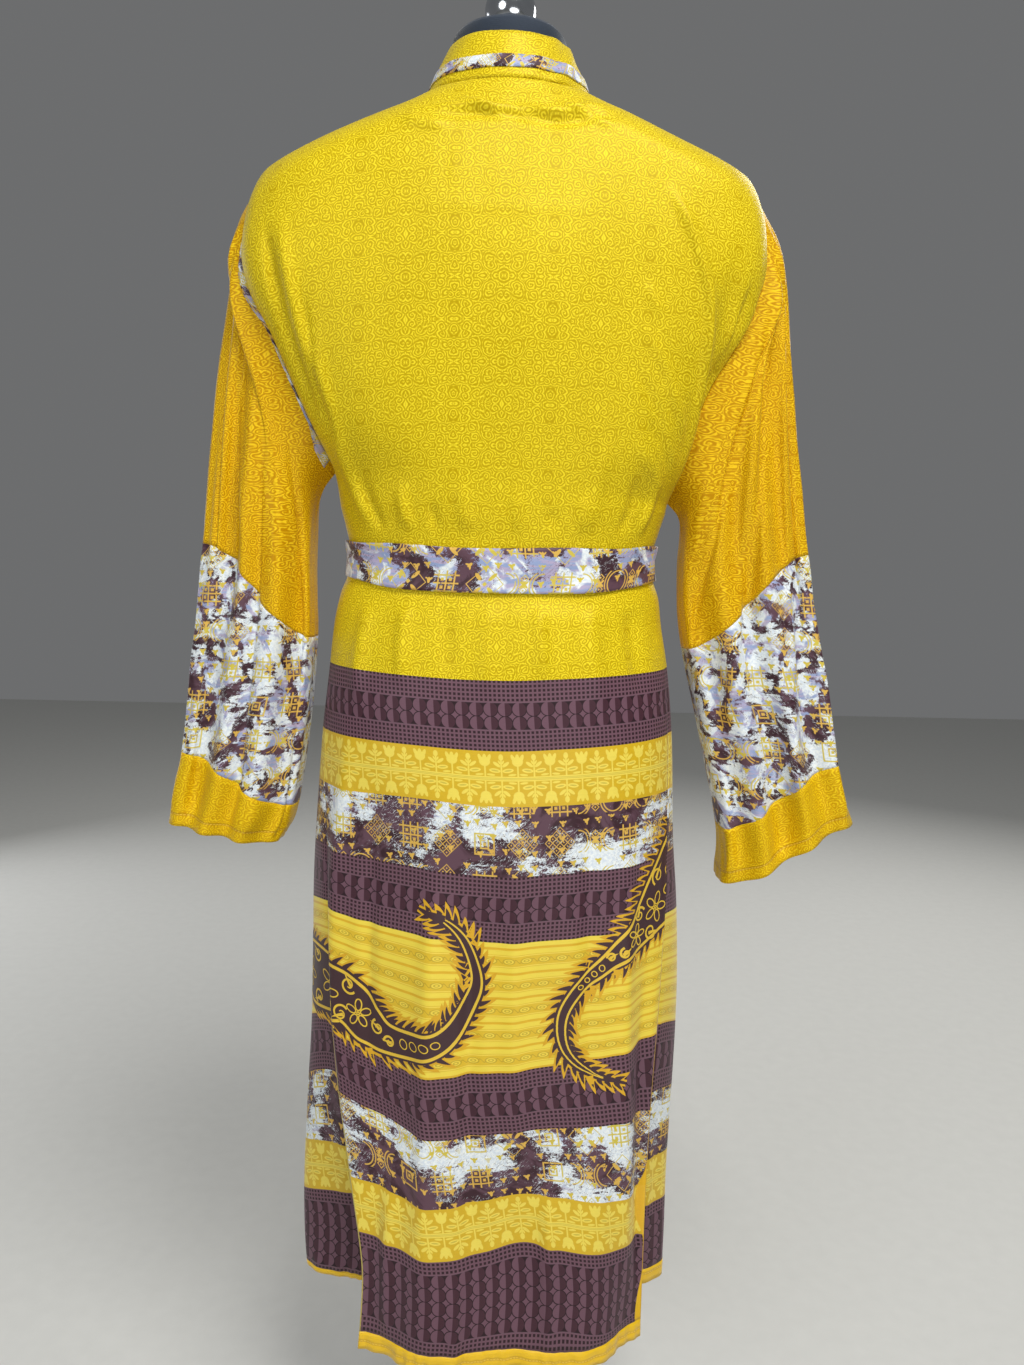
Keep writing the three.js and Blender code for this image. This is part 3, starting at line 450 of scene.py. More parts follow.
BACK_CREASES = [
    # left of the picture: the drop beside the armhole
    (213, 1300, 171, 1140, 5, 5, -2.4), (198, 1304, 158, 1150, 6, 6, 2.0),
    (182, 1250, 152, 1116, 4, 5, -1.7), (168, 1210, 140, 1082, 4, 7, 1.3),
    (150, 1130, 120, 1040, 4, 6, 1.7), (132, 1090, 106, 1034, 2, 5, -1.5),
    # right of the picture: the long sharp fold, the hollow beside it and the drags in the hollow
    (-146, 1336, -184, 1240, -5, 4.5, 2.0), (-184, 1262, -168, 1088, -7, 4, 2.8),
    (-204, 1280, -176, 1110, -5, 9, -1.7), (-232, 1262, -188, 1150, -4, 2.8, 1.7),
    (-223, 1262, -184, 1160, -4, 2.8, -1.9), (-214, 1240, -184, 1150, -3, 2.6, 1.6),
    (-121, 1222, -166, 1142, -5, 3, 1.2), (-127, 1142, -158, 1099, -4, 3, -1.4),
    (-146, 1172, -168, 1128, -4, 3, 1.2), (-112, 1190, -150, 1120, -5, 3, -1.0),
    (-120, 1120, -152, 1080, -3, 3, 1.3), (-146, 1096, -128, 1036, -3, 4, 1.7),
    (-126, 1090, -110, 1034, -3, 5, -1.4), (-96, 1120, -84, 1040, 2, 7, 1.0),
    (-124, 1256, -140, 1232, 0, 3, 1.0),
    # the collar's pull
    (40, 1412, -4, 1392, -2, 3, 1.4), (0, 1408, -52, 1394, 2, 2.5, -1.4),
    (-50, 1410, -92, 1390, 2, 3, 1.5),
    # under the collar
    (66, 1404, -50, 1399, -3, 3.5, 1.4), (58, 1396, -40, 1392, -4, 4, -1.2),
    (-18, 1398, -86, 1412, 2, 3.5, 1.6), (-30, 1390, -96, 1402, 2, 4, -1.2),
    (92, 1396, 52, 1386, 2, 5, 1.2), (84, 1321, -76, 1317, 2, 6, 0.22),
    # above the belt
    (92, 1078, 78, 1030, 3, 6, 1.8), (62, 1064, 54, 1028, 2, 5, -1.4),
    (34, 1082, 26, 1030, 2, 7, 1.2),
    (-16, 1076, -18, 1028, 1, 6, 1.3), (-48, 1060, -52, 1028, 1, 5, -1.2),
    (-76, 1074, -78, 1028, 1, 6, 1.4),
    # under the belt
    (120, 978, 132, 880, 3, 8, 1.8), (84, 980, 88, 900, 2, 7, 1.5), (46, 980, 44, 906, 2, 7, -1.2),
    (8, 980, 6, 890, 2, 9, 1.2), (-38, 980, -44, 902, 2, 7, 1.4), (-86, 978, -96, 880, 2, 9, 1.5),
    (-124, 978, -138, 890, 2, 8, -1.6),
    # the skirt, between its large folds
    (140, 840, 154, 420, 6, 10, 2.6), (112, 800, 116, 520, 4, 8, -1.6),
    (52, 760, 60, 300, 4, 10, 2.0),
    (18, 700, 14, 330, 3, 9, -2.0), (-22, 780, -28, 420, 3, 12, 1.6),
    (-92, 820, -100, 480, 4, 10, -1.8),
    (-128, 760, -140, 300, 5, 9, 2.6), (-150, 640, -158, 260, 4, 7, -2.2),
    (166, 560, 170, 260, 4, 7, 2.4),
    (92, 420, 96, 250, 2, 8, 2.4), (-60, 420, -64, 250, 2, 8, 2.2), (30, 330, 28, 240, 1, 7, 1.8)]
FRONT_CREASES = [
    (216, 1270, 150, 1110, 6, 9, -3.6), (190, 1300, 128, 1060, 10, 12, 3.0),
    (150, 1330, 84, 1080, 10, 13, 2.0), (118, 1250, 66, 1050, 6, 9, -1.6),
    (-216, 1270, -150, 1110, -6, 9, -3.4), (-186, 1300, -120, 1060, -10, 12, 3.0),
    (-146, 1330, -92, 1070, -10, 12, 1.8), (-104, 1240, -60, 1050, -6, 8, -1.6),
    (108, 1086, 92, 1034, 2, 7, 1.8), (-104, 1090, -96, 1034, 2, 7, 1.8),
    (72, 1070, 66, 1032, 1, 6, -1.4),
    (120, 975, 136, 840, 3, 9, 2.0), (76, 975, 82, 850, 2, 9, 1.6), (-80, 975, -92, 830, 2, 9, 1.8),
    (-128, 970, -140, 850, 2, 8, -1.8), (132, 800, 146, 330, 5, 12, 2.6),
    (88, 760, 96, 300, 4, 10, -2.0),
    (-88, 780, -94, 300, 4, 11, 2.4), (-134, 740, -146, 280, 4, 9, -2.2),
    (-160, 620, -168, 260, 3, 8, 2.2)]

CREASE_SCALE, SIDE_FADE, TOP_FADE = 2.3, 8, 14
BELT_REACH, BELT_FADE = 46, 16
HEM_WAVE_HEIGHT, HEM_WAVE_FADE = 24, 14


def at_rest(z):
    """1 away from the belt and 0 under it."""
    return 1 - smooth((BELT_REACH - np.abs(z - BELT_MIDDLE)) / BELT_FADE)


def soft_waves(x, z):
    """A broad unevenness, nowhere over 1 mm."""
    return 0.5 * np.sin(x / 21 + z / 57) + 0.45 * np.sin(x / 34 - z / 41 + 1.3)


def body_relief(sheet, rows, sewn_at_end):
    """Creases, unevenness and a rippled hem. All die away at the seams."""
    x, z = sheet.grid[..., 0], sheet.grid[..., 2]
    total = (bumps(x, z, rows) * CREASE_SCALE + soft_waves(x, z) * 1.2) * at_rest(z)
    hem_wave = (0.9 * np.sin(x / 5.3 + 1.7 * np.sin(x / 19))
                + 0.7 * np.sin(x / 2.3 + 2.4 * np.sin(x / 11)))
    total = total + hem_wave * smooth((sheet.v.min() + HEM_WAVE_HEIGHT - sheet.v) / HEM_WAVE_FADE)
    across = lengths(sheet.grid, 1)
    total = total * smooth(across / SIDE_FADE)
    if sewn_at_end:
        total = total * smooth((across[:, -1:] - across) / SIDE_FADE)
    return total * smooth(lengths(sheet.grid, 0) / TOP_FADE)


# ---------------------------------------------------------------- panels
YOKE_ROWS = 84
HEM_MARGIN = 30
back_angles = np.linspace(0, math.pi, 181)
back_levels = levels(HEM["back"], BACK_STEP)


def sag(rows, share):
    """The height of each printed line above its level, at shares of the way round the back."""
    found = []
    for level in rows:
        heights = np.array([read(BORDER_SAG, level, name) for name in "abcdefg"])
        found.append(read({"at": SAG_SHARES, "y": heights}, share, "y"))
    return np.array(found)


EASING_TURNS, EASED_ROWS = 240, YOKE_ROWS + 6


def eased(grid):
    """The part above the first row softened where its formulas meet; its borders stay. Every
    second turn pushes back, so that the broad shapes keep their size."""
    last = EASED_ROWS
    for turn in range(EASING_TURNS):
        around = (grid[:last - 1, 1:-1] + grid[2:last + 1, 1:-1]
                  + grid[1:last, :-2] + grid[1:last, 2:]) / 4
        share = -0.505 if turn % 2 else 0.5
        grid[1:last, 1:-1] = mix(grid[1:last, 1:-1], around, share)
    return grid


def back_grid():
    angle = back_angles[None, :]
    top = yoke(angle, yoke_downs(YOKE_ROWS)[:, None], 1)
    z = back_levels[:, None] + sag(back_levels, back_angles / math.pi)
    turned = mix(seam_angle(z, "left"), math.pi - seam_angle(z, "right"), angle / math.pi)
    return eased(stacked(top, skirt(turned, z)))


def front_grid(mirror, foot, columns=81):
    share = np.linspace(0, 1, columns)[None, :]
    top = front_yoke(share, yoke_downs(YOKE_ROWS)[:, None], mirror)
    rows = levels(foot, FRONT_STEP)
    at_seam = sag(rows, np.array([0.0 if mirror > 0 else 1.0]))
    fade = smooth((rows[:, None] - foot) / 60)
    z = rows[:, None] + at_seam * fade * (1 - smooth(share / 0.4))
    return eased(stacked(top, front_skirt(share, z, mirror)))


def band_rows(sheet):
    """The border band that each row of faces belongs to; 0 is the plain ground above them."""
    z = (sheet.v[:-1].mean(1) + sheet.v[1:].mean(1)) / 2
    found = np.zeros(len(z), int)
    for i, (_, low, high, _) in enumerate(BORDER):
        low = low - HEM_MARGIN if i == 0 else low
        found[(z >= low) & (z < high)] = i + 1
    return found


def row_at(sheet, level):
    return int(np.argmin(np.abs(sheet.v.mean(1) - level)))


# ---------------------------------------------------------------- shader numbers
def rgb(r, g, b):
    """A colour from its 0 to 255 screen values."""
    def linear(v):
        v = v / 255
        return v / 12.92 if v <= 0.04045 else ((v + 0.055) / 1.055) ** 2.4
    return (linear(r), linear(g), linear(b), 1.0)


def operation(kind, swapped=False):
    """A function of one or two numbers that adds one math node."""
    def added(first, *others):
        values = (first, *others)
        return first.net.math(kind, *(values[::-1] if swapped else values))
    return added


class Num:
    """A number that a material works out at each point."""

    def __init__(self, net, socket):
        self.net, self.socket = net, socket

    __add__ = __radd__ = operation("ADD")
    __mul__ = __rmul__ = operation("MULTIPLY")
    __sub__, __rsub__ = operation("SUBTRACT"), operation("SUBTRACT", swapped=True)
    __truediv__ = operation("DIVIDE")
    __abs__ = operation("ABSOLUTE")


root, sine, whole, fraction = (operation(kind) for kind in ("SQRT", "SINE", "FLOOR", "FRACT"))
there_and_back, turn_of = operation("PINGPONG"), operation("ARCTAN2")


def highest(*values):
    return functools.reduce(operation("MAXIMUM"), values)


def lowest(*values):
    return functools.reduce(operation("MINIMUM"), values)


# Masks are 1 inside a shape and 0 outside it.
any_of, all_of = highest, lowest


def centred(v):
    """From -0.5 to 0.5 in each whole step of a number."""
    return fraction(v + 50.0) - 0.5


def step(value, low, high):
    """0 at low, 1 at high, smooth between; low may be above high."""
    made = value.net.node("ShaderNodeMapRange", value, low, high,
                          interpolation_type="SMOOTHSTEP")
    return Num(value.net, made.outputs[0])


def below(value, edge, soft):
    return step(value, edge + soft, edge - soft)


def near(value, at, width, soft):
    return below(abs(value - at), width, soft)


class Net:
    """The node tree of one material, with its shader and short ways to add nodes to it."""

    def __init__(self, name, roughness, metallic=0.0, sheen=0.0, specular=0.5, tint=(1, 1, 1, 1)):
        self.material = bpy.data.materials.new(name)
        self.material.use_nodes = True
        self.tree = self.material.node_tree
        self.shader = self.tree.nodes["Principled BSDF"]
        self.feed_all(self.shader, {
            "Roughness": roughness, "Metallic": metallic, "Sheen Weight": sheen,
            "Sheen Roughness": 0.4, "Specular IOR Level": specular, "Specular Tint": tint})

    def node(self, kind, *values, **settings):
        """Adds a node with its settings and the values of its first inputs."""
        made = self.tree.nodes.new(kind)
        for key, value in settings.items():
            setattr(made, key, value)
        for socket, value in zip(made.inputs, values):
            self.feed(socket, value)
        return made

    def feed(self, socket, value):
        if isinstance(value, Num):
            value = value.socket
        if isinstance(value, bpy.types.NodeSocket):
            self.tree.links.new(value, socket)
        else:
            socket.default_value = value

    def feed_all(self, made, values):
        for name, value in values.items():
            self.feed(made.inputs[name], value)
        return made

    def math(self, kind, *values):
        return Num(self, self.node("ShaderNodeMath", *values, operation=kind).outputs[0])

    def blend(self, share, a, b):
        made = self.node("ShaderNodeMix", share, data_type="RGBA")
        self.feed(made.inputs[6], a)
        self.feed(made.inputs[7], b)
        return made.outputs[2]

    def parts(self, vector):
        return [Num(self, out) for out in self.node("ShaderNodeSeparateXYZ", vector).outputs]

    def uv(self, layer="cloth"):
        return self.parts(self.node("ShaderNodeUVMap", uv_map=layer).outputs[0])[:2]

    def vector(self, x, y, z=0.0):
        return self.node("ShaderNodeCombineXYZ", x, y, z).outputs[0]

    def noise(self, vector, scale, detail=2.0, rough=0.5, distortion=0.0):
        made = self.node("ShaderNodeTexNoise", noise_dimensions="3D")
        return Num(self, self.feed_all(made, {
            "Vector": vector, "Scale": scale, "Detail": detail, "Roughness": rough,
            "Distortion": distortion}).outputs[0])

    def chance(self, x, y, seed):
        """A fixed number from 0 to 1 for each cell of a grid."""
        made = self.node("ShaderNodeTexWhiteNoise", noise_dimensions="3D")
        self.feed(made.inputs[0], self.vector(x, y, seed))
        return Num(self, made.outputs[0])

    def bump(self, height, distance, strength):
        return self.feed_all(self.node("ShaderNodeBump"), {
            "Strength": strength, "Distance": distance, "Height": height})

    def finish(self, colour, height, distance, strength, crumple=0.0):
        """Sets the colour, a fine relief, and a broad soft crumpling of the cloth."""
        fine = self.bump(height, distance, strength)
        self.feed_all(self.shader, {"Base Color": colour, "Normal": fine.outputs[0]})
        if crumple:
            u, v = self.uv()
            broad = self.noise(self.vector(u * 36, v * 15), 1.0, 2.0, 0.5, 0.4)
            self.feed(fine.inputs["Normal"], self.bump(broad, crumple, 1.0).outputs[0])
        return self.material

    def finish_cloth(self, colour, distance, strength, depth=0.12, edge=False, crumple=0.0,
                     relief=0.0):
        """Lays sheen lines and a small unevenness over the printed colour, and weaves it."""
        u, v = self.uv()
        if edge:
            colour = edge_binding(self, colour, v)
        slub_and_sheen = self.noise(self.vector(u * 90, v * 900), 1.0, 2.0)
        broad = self.noise(self.vector(u * 9, v * 6), 1.0, 2.0)
        # The fine streaked noise lightens and darkens the colour in thin lines as painted sheen
        # lines, and also gives the weave's slub relief; the broad noise is a random unevenness of
        # tone.
        shaded = self.node("ShaderNodeVectorMath", operation="SCALE")
        self.feed(shaded.inputs[0], colour[:3] if isinstance(colour, tuple) else colour)
        self.feed(shaded.inputs[3], slub_and_sheen * depth + broad * depth + (1 - depth))
        weave = sine((u + v) * (2 * math.pi / THREAD_PITCH)) * 0.25 + slub_and_sheen + relief
        return self.finish(shaded.outputs[0], weave, distance, strength, crumple)


THREAD_PITCH = 0.0011


def ellipse(x, y, cx, cy, long, short, turn=0.0):
    """Under 1 inside an ellipse."""
    c, s = math.cos(math.radians(turn)), math.sin(math.radians(turn))
    dx, dy = x - cx, y - cy
    along = (dx * c + dy * s) / long
    aside = (dy * c - dx * s) / short
    return along * along + aside * aside


# ---------------------------------------------------------------- prints
# Sizes in the prints are in metres, as their nodes read them, where nothing else is said.
SCROLL_TILE = (0.043, 0.036)
SCROLL_SIZE, SCROLL_PITCH, SCROLL_DRIFT = 0.0096, 0.0025, 0.005
SATIN_TINT = rgb(255, 232, 130)
SATIN_ROUGHNESS = 0.45
THREAD = rgb(246, 214, 90)


def scroll_mask(net, u, v):
    """Swirling lines: a spiral round each cell's middle, mirrored across every tile."""
    fu, fv = there_and_back(u, SCROLL_TILE[0]), there_and_back(v, SCROLL_TILE[1])
    du = fu + net.noise(net.vector(fu, fv), 150.0, 1.0) * SCROLL_DRIFT
    dv = fv + net.noise(net.vector(fv, fu, 4.0), 150.0, 1.0) * SCROLL_DRIFT
    cells = net.node("ShaderNodeTexVoronoi", voronoi_dimensions="2D", feature="F1")
    net.feed_all(cells, {"Vector": net.vector(du / SCROLL_SIZE, dv / SCROLL_SIZE),
                         "Scale": 1.0, "Randomness": 1.0})
    cx, cy, _ = net.parts(cells.outputs["Position"])
    turn = turn_of(dv - cy * SCROLL_SIZE, du - cx * SCROLL_SIZE) / (2 * math.pi)
    radius = Num(net, cells.outputs["Distance"]) * (SCROLL_SIZE / SCROLL_PITCH)
    part = fraction(radius + turn + 8.0)
    broken = step(net.noise(net.vector(fu, fv, 9.0), 420.0, 1.0), 0.3, 0.55)
    return step(abs(part - 0.5), 0.12, 0.4) * (broken * 0.7 + 0.3)


def stitched(net, u, away, colour, pitch, groove_edge, shadow, shares):
    """The colour with a line of stitches in a groove, the groove and the stitches."""
    groove = below(away, *groove_edge)
    stitch = all_of(below(away, 0.0005, 0.0002), below(abs(centred(u / pitch)), 0.34, 0.06))
    colour = net.blend(groove * shares[0], colour, shadow)
    return net.blend(stitch * shares[1], colour, THREAD), groove, stitch


def scroll_material(name, ground, line, stitch_at=0.0, crumple=0.0012, finer=1.0):
    """Scrolling lines woven into satin, a little duller than its ground."""
    net = Net(name, roughness=SATIN_ROUGHNESS, sheen=0.03, tint=SATIN_TINT)
    u, v = net.uv()
    lines = scroll_mask(net, u * finer, v * finer)
    net.feed(net.shader.inputs["Roughness"], lines * 0.16 + (SATIN_ROUGHNESS - 0.06))
    colour, relief = net.blend(lines, ground, line), 0.0
    if stitch_at:
        colour, groove, _ = stitched(net, u, abs(v - stitch_at), colour, 0.0034,
                                     (0.0012, 0.0008), rgb(150, 96, 4), (0.5, 0.5))
        relief = groove * -3.0
    return net.finish_cloth(colour, 0.00025, 0.4, crumple=crumple, relief=relief)


# The binding of the slits' edges: the height under which it is wide, the slits' top, its width
# down there and beside the lower tulips, and the height of those tulips' middle.
BINDING_FOOT, SLIT_TOP = 0.26, 0.6
BINDING_WIDE, BINDING_BY_TULIPS, TULIPS_AT = 0.007, 0.009, 0.378


def edge_binding(net, colour, v):
    """A narrow yellow turning along the right slit edge and a thin pale one along the left."""
    from_start, from_end = net.uv("edge")
    beside_tulips = step(abs(v - TULIPS_AT), 0.045, 0.005)
    reach = (step(v, BINDING_FOOT + 0.05, BINDING_FOOT) * BINDING_WIDE
             + beside_tulips * BINDING_BY_TULIPS + 0.0006)
    slit = below(v, SLIT_TOP, 0.002)
    right = all_of(below(from_end - reach, 0.0, 0.0004), slit)
    left = all_of(below(from_start, 0.0012, 0.0004), slit)
    return net.blend(left, net.blend(right, colour, rgb(226, 178, 28)), rgb(196, 176, 96))


def maroon_material(name, low, high, rows, edge):
    """Half-dark circles between two lattices of small dark squares."""
    net = Net(name, roughness=0.5, sheen=0.04, specular=0.25)
    u, v = net.uv()
    period, cell, hair = 0.0131, 0.0041, 0.0002
    mauve, deep = rgb(106, 75, 88), rgb(40, 20, 27)
    half_rows = rows * period / 2
    y = v - (low + high) / 2 * MM
    away = abs(y)
    square = highest(abs(centred(u / cell)), abs(centred((away - half_rows) / cell)))
    lattice = net.blend(below(square, 0.29, 0.05), rgb(108, 77, 89), rgb(42, 20, 27))
    cx, cy = centred(u / period), centred((y + half_rows) / period)
    radius = root(cx * cx + cy * cy)
    halves = net.blend(step(cx, 0.02, -0.02), rgb(66, 37, 47), mauve)
    circles = net.blend(below(radius, 0.475, 0.015), deep, halves)
    star = all_of(step(radius, 0.535, 0.55), below(away, half_rows - period * 0.45, hair))
    circles = net.blend(star, circles, mauve)
    edge_line = step(away, half_rows - 0.0012, half_rows - 0.0004)
    circles = net.blend(edge_line, circles, rgb(110, 82, 94))
    colour = net.blend(below(away, half_rows, hair), lattice, circles)
    return net.finish_cloth(colour, 0.0002, 0.3, 0.1, edge)


# Shapes of the tulip print, in millimetres: the distance aside and the height of the middle,
# the half length and half width, and the turn. Each is mirrored about its stem.
TULIP_SHAPES = (
    (0.0, 17.4, 5.0, 4.8), (3.9, 20.6, 4.2, 1.7, 70), (0.0, 21.2, 1.8, 3.6),
    (5.2, 4.2, 3.8, 1.1, -6))
SPRIG_SHAPES = (
    (0.0, 21.6, 2.2, 3.2), (4.1, 14.6, 4.0, 1.6, 40), (1.7, 16.8, 2.0, 0.8, 66),
    (6.0, 8.4, 5.2, 2.2, 8))
SPRIG_VEIN = (6.0, 8.4, 3.4, 0.7, 8)
TULIP_PERIOD = 30.0


def tulip_material(name, low, high, edge):
    """Tulips and leafy sprigs in turn, standing on a middle line and mirrored under it."""
    net = Net(name, roughness=0.42, sheen=0.12)
    u, v = net.uv()
    y = abs(v - (low + high) / 2 * MM) * 1000
    ax = abs(centred(u / (TULIP_PERIOD * MM)) * TULIP_PERIOD)
    bx = abs(TULIP_PERIOD / 2 - ax)
    shapes = [below(ellipse(x, y, *shape), 1.0, 0.14)
              for x, rows in ((ax, TULIP_SHAPES), (bx, SPRIG_SHAPES)) for shape in rows]
    stems = [all_of(below(x, 0.75, 0.3), below(y, top, 0.3)) for x, top in ((ax, 13.0), (bx, 19.0))]
    mask = any_of(*shapes, *stems, below(y, 2.4, 0.3))
    colour = net.blend(mask, rgb(210, 172, 14), rgb(232, 210, 80))
    dark = any_of(all_of(below(y, 0.95, 0.2), step(y, 0.25, 0.5)),
                  below(ellipse(bx, y, *SPRIG_VEIN), 1.0, 0.3))
    colour = net.blend(dark * 0.55, colour, rgb(168, 140, 20))
    return net.finish_cloth(colour, 0.00025, 0.35, edge=edge)


# The striped print, in millimetres: its repeats down and across, and the height of the ovals.
STRIPES_PERIOD, OVAL_PERIOD, OVAL_AT = 24.5, 16.5, 18.2


def stripes_material(name, low, edge):
    """Light and gold lines with a row of linked ovals between them."""
    net = Net(name, roughness=0.42, sheen=0.12)
    u, v = net.uv()
    y = fraction((v - low * MM) * (1000 / STRIPES_PERIOD) + 0.21) * STRIPES_PERIOD
    across = u / (OVAL_PERIOD * MM)
    x = centred(across) * OVAL_PERIOD
    oval, core = ellipse(x, y, 0.0, OVAL_AT, 5.1, 2.7), ellipse(x, y, 0.0, OVAL_AT, 2.2, 1.1)
    ring, dot = near(root(oval), 1.0, 0.13, 0.06), near(root(core), 1.0, 0.32, 0.12)
    wave = sine((across + 0.25) * (4 * math.pi)) * 1.6
    link = all_of(near(y - OVAL_AT, wave, 0.5, 0.3), step(oval, 1.0, 1.2))
    rim = any_of(near(y, 13.0, 0.4, 0.2), near(y, 23.4, 0.4, 0.2))
    chain_zone = step(y, 11.6, 12.2)
    colour = net.blend(near(y, 5.9, 1.2, 0.25), rgb(232, 208, 66), rgb(218, 172, 20))
    colour = net.blend(chain_zone, colour, rgb(218, 182, 34))
    colour = net.blend(all_of(below(oval, 1.0, 0.1), chain_zone), colour, rgb(232, 206, 66))
    colour = net.blend(all_of(rim, chain_zone), colour, rgb(236, 212, 80))
    lines = all_of(any_of(ring, dot, link), chain_zone)
    colour = net.blend(lines * 0.7, colour, rgb(176, 146, 22))
    return net.finish_cloth(colour, 0.00025, 0.35, edge=edge)


def sprig(x, y, size, turn):
    """A small three-leaved sprig standing at a point."""
    found = [below(ellipse(x, y, 0.0, 0.0, size * 0.3, size * 0.62, turn), 1.0, 0.2)]
    for lean in (turn + 142, turn + 38):
        cx, cy = (size * 0.42 * way(math.radians(lean)) for way in (math.cos, math.sin))
        found.append(below(ellipse(x, y, cx, cy, size * 0.5, size * 0.2, lean), 1.0, 0.2))
    return any_of(*found)


def line_motifs(x, y, kind):
    """The large gold motif of a cell from -1 to 1, of the kind that the cell's chance picks."""
    ax, ay = abs(x), abs(y)
    most, both = highest(ax, ay), ax + ay
    stroke, soft = 0.04, 0.02

    def line(value, at, width=stroke):
        return near(value, at, width, soft)

    bars = any_of(*(line(value, at) for value in (ax, ay) for at in (0.42, 0.0)))
    windows = below(highest(abs(ax - 0.21), abs(ay - 0.21)), 0.08, 0.03)
    ladder = all_of(any_of(bars, windows), below(most, 0.66, soft))
    p, q = there_and_back(x + y + 4.0, 0.2), there_and_back(x - y + 4.0, 0.2)
    crossings = below(highest(0.2 - p, 0.2 - q), 0.045, 0.025)
    lattice = all_of(any_of(below(lowest(p, q), stroke * 0.7, soft), crossings),
                     below(both, 0.82, 0.03))
    away = root((1.0 - ax) * (1.0 - ax) + y * y)
    rings = any_of(line(away, 0.72, stroke * 0.8), line(away, 0.56, stroke * 0.8))
    lozenge = ax + abs(ay - 0.3)
    arcs = any_of(all_of(rings, below(ay, 0.6, 0.03)), line(lozenge, 0.2, stroke * 0.8),
                  below(lozenge, 0.06, 0.03), sprig(x, ay, 0.3, 0))
    leaf = below(ellipse(ax, ay, 0.36, 0.36, 0.27, 0.1, 45), 1.0, 0.2)
    leaves = any_of(leaf, below(both, 0.13, 0.03), line(both, 0.95, stroke * 0.7))
    box = any_of(line(most, 0.5), line(most, 0.2), below(most, 0.08, 0.03))
    shares = (0.0, 0.26, 0.5, 0.74, 0.86, 0.93)
    return any_of(*(
        all_of(motif, step(kind, low - 0.001, low + 0.001), step(kind, high + 0.001, high - 0.001))
        for motif, low, high in zip((ladder, lattice, arcs, leaves, box), shares, shares[1:])))


def brushed_material(name, shift, cell, edge=False, dark=0.5, wash=0.2, patches=17.0, swirl=0.4):
    """Brushed dark patches on a pale ground with washes of blue and lavender, under gold line
    motifs, of one kind in each cell, and sprigs strewn between them."""
    net = Net(name, roughness=0.48, sheen=0.06, specular=0.3)
    u, v = net.uv()
    where = net.vector(u + shift, v + shift * 0.7)
    patch = net.noise(where, patches, 2.0, 0.55, swirl)
    streak = net.noise(net.vector(u * 45 + shift, v * 240), 1.0, 3.0, 0.65, 0.6)
    fine = net.noise(where, 330.0, 3.0, 0.75, 0.5)
    tone = patch * 0.66 + streak * 0.18 + fine * 0.16
    scratch = net.noise(net.vector(u * 70 + v * 60, v * 210 - u * 190, shift), 1.0, 3.0, 0.6, 0.5)
    scratched = all_of(near(scratch, 0.5, 0.008, 0.006), step(abs(tone - dark), 0.07, 0.03))
    is_dark = abs(step(tone, dark - 0.006, dark + 0.006) - scratched)
    washed = net.noise(where, 34.0, 3.0, 0.6, 1.5)
    pale = net.blend(step(fine, 0.35, 0.65), rgb(206, 216, 226), rgb(236, 240, 238))
    blue = net.blend(step(streak, 0.4, 0.6), rgb(142, 158, 196), rgb(176, 164, 192))
    wash_share = step(washed, 0.62 - wash * 0.3, 0.72 - wash * 0.3) * min(1.0, 0.55 + wash)
    maroon = net.blend(step(washed, 0.4, 0.6), rgb(56, 30, 38), rgb(92, 64, 76))
    colour = net.blend(is_dark, net.blend(wash_share, pale, blue), maroon)

    gx, gy = (u + shift) / cell, (v + shift) / cell
    kind = net.chance(whole(gx), whole(gy), shift * 10)
    large = line_motifs(centred(gx) * 2, centred(gy) * 2, kind)
    small = cell * 0.36
    hx, hy = (u + shift * 2) / small, (v + shift * 3) / small
    jx, jy = whole(hx), whole(hy)
    strewn = net.chance(jx, jy, shift * 20 + 5)
    nudge = net.chance(jy, jx, shift * 20 + 9) * 0.3
    sx, sy = centred(hx) - 0.15 + nudge, centred(hy) + 0.15 - nudge
    sprigs = any_of(all_of(sprig(sx, sy, 0.36, 0), step(strewn, 0.66, 0.67)),
                    all_of(sprig(sx, sy, 0.36, 128), step(strewn, 0.33, 0.32)))
    worn = step(net.noise(where, 160.0, 3.0, 0.7), 0.33, 0.42)
    gold = net.blend(is_dark, rgb(204, 186, 70), rgb(214, 172, 78))
    colour = net.blend(all_of(any_of(large, sprigs), worn), colour, gold)
    return net.finish_cloth(colour, 0.00022, 0.3, 0.08, edge, 0.0025)


def hem_material(name, foot, stitch_at):
    """Plain satin with one line of stitches along it, at a height above the hem's foot."""
    net = Net(name, roughness=0.4, sheen=0.15)
    u, v = net.uv()
    colour, groove, stitch = stitched(net, u, abs(v - (foot + stitch_at) * MM), HEM_YELLOW, 0.0032,
                                      (0.0016, 0.0012), rgb(176, 120, 12), (0.35, 0.6))
    return net.finish_cloth(colour, 0.0004, 0.5, 0.1, relief=stitch * 1.5 - groove * 2.0)


def plain_print(name, colour):
    """Print lying flat on the cloth, in one colour."""
    return Net(name, roughness=0.5, sheen=0.1).finish_cloth(colour, 0.0002, 0.3, 0.14)


HEM_YELLOW = rgb(236, 190, 8)
m_scroll = scroll_material("torso_scroll", rgb(186, 157, 0), rgb(236, 214, 40))
m_sleeve = scroll_material("sleeve_scroll", rgb(188, 134, 0), rgb(236, 196, 26), crumple=0.002,
                           finer=1.08)
m_hem = hem_material("hem_satin", HEM["back"], 9.0)
m_hem_front = hem_material("hem_front_satin", HEM["right"], 12.0)
m_cuff = scroll_material("cuff_scroll", rgb(200, 152, 2), rgb(234, 200, 26), stitch_at=0.012)
m_belt = brushed_material("belt_print", 0.37, 0.036, dark=0.51, wash=0.75, patches=24.0, swirl=0.8)
m_sleeve_print = brushed_material("sleeve_print", 1.13, 0.036, dark=0.515, wash=0.42, patches=38.0,
                                  swirl=1.0)
m_strip_print = brushed_material("strip_print", 2.71, 0.026, dark=0.52, wash=0.6, patches=30.0,
                                 swirl=1.0)


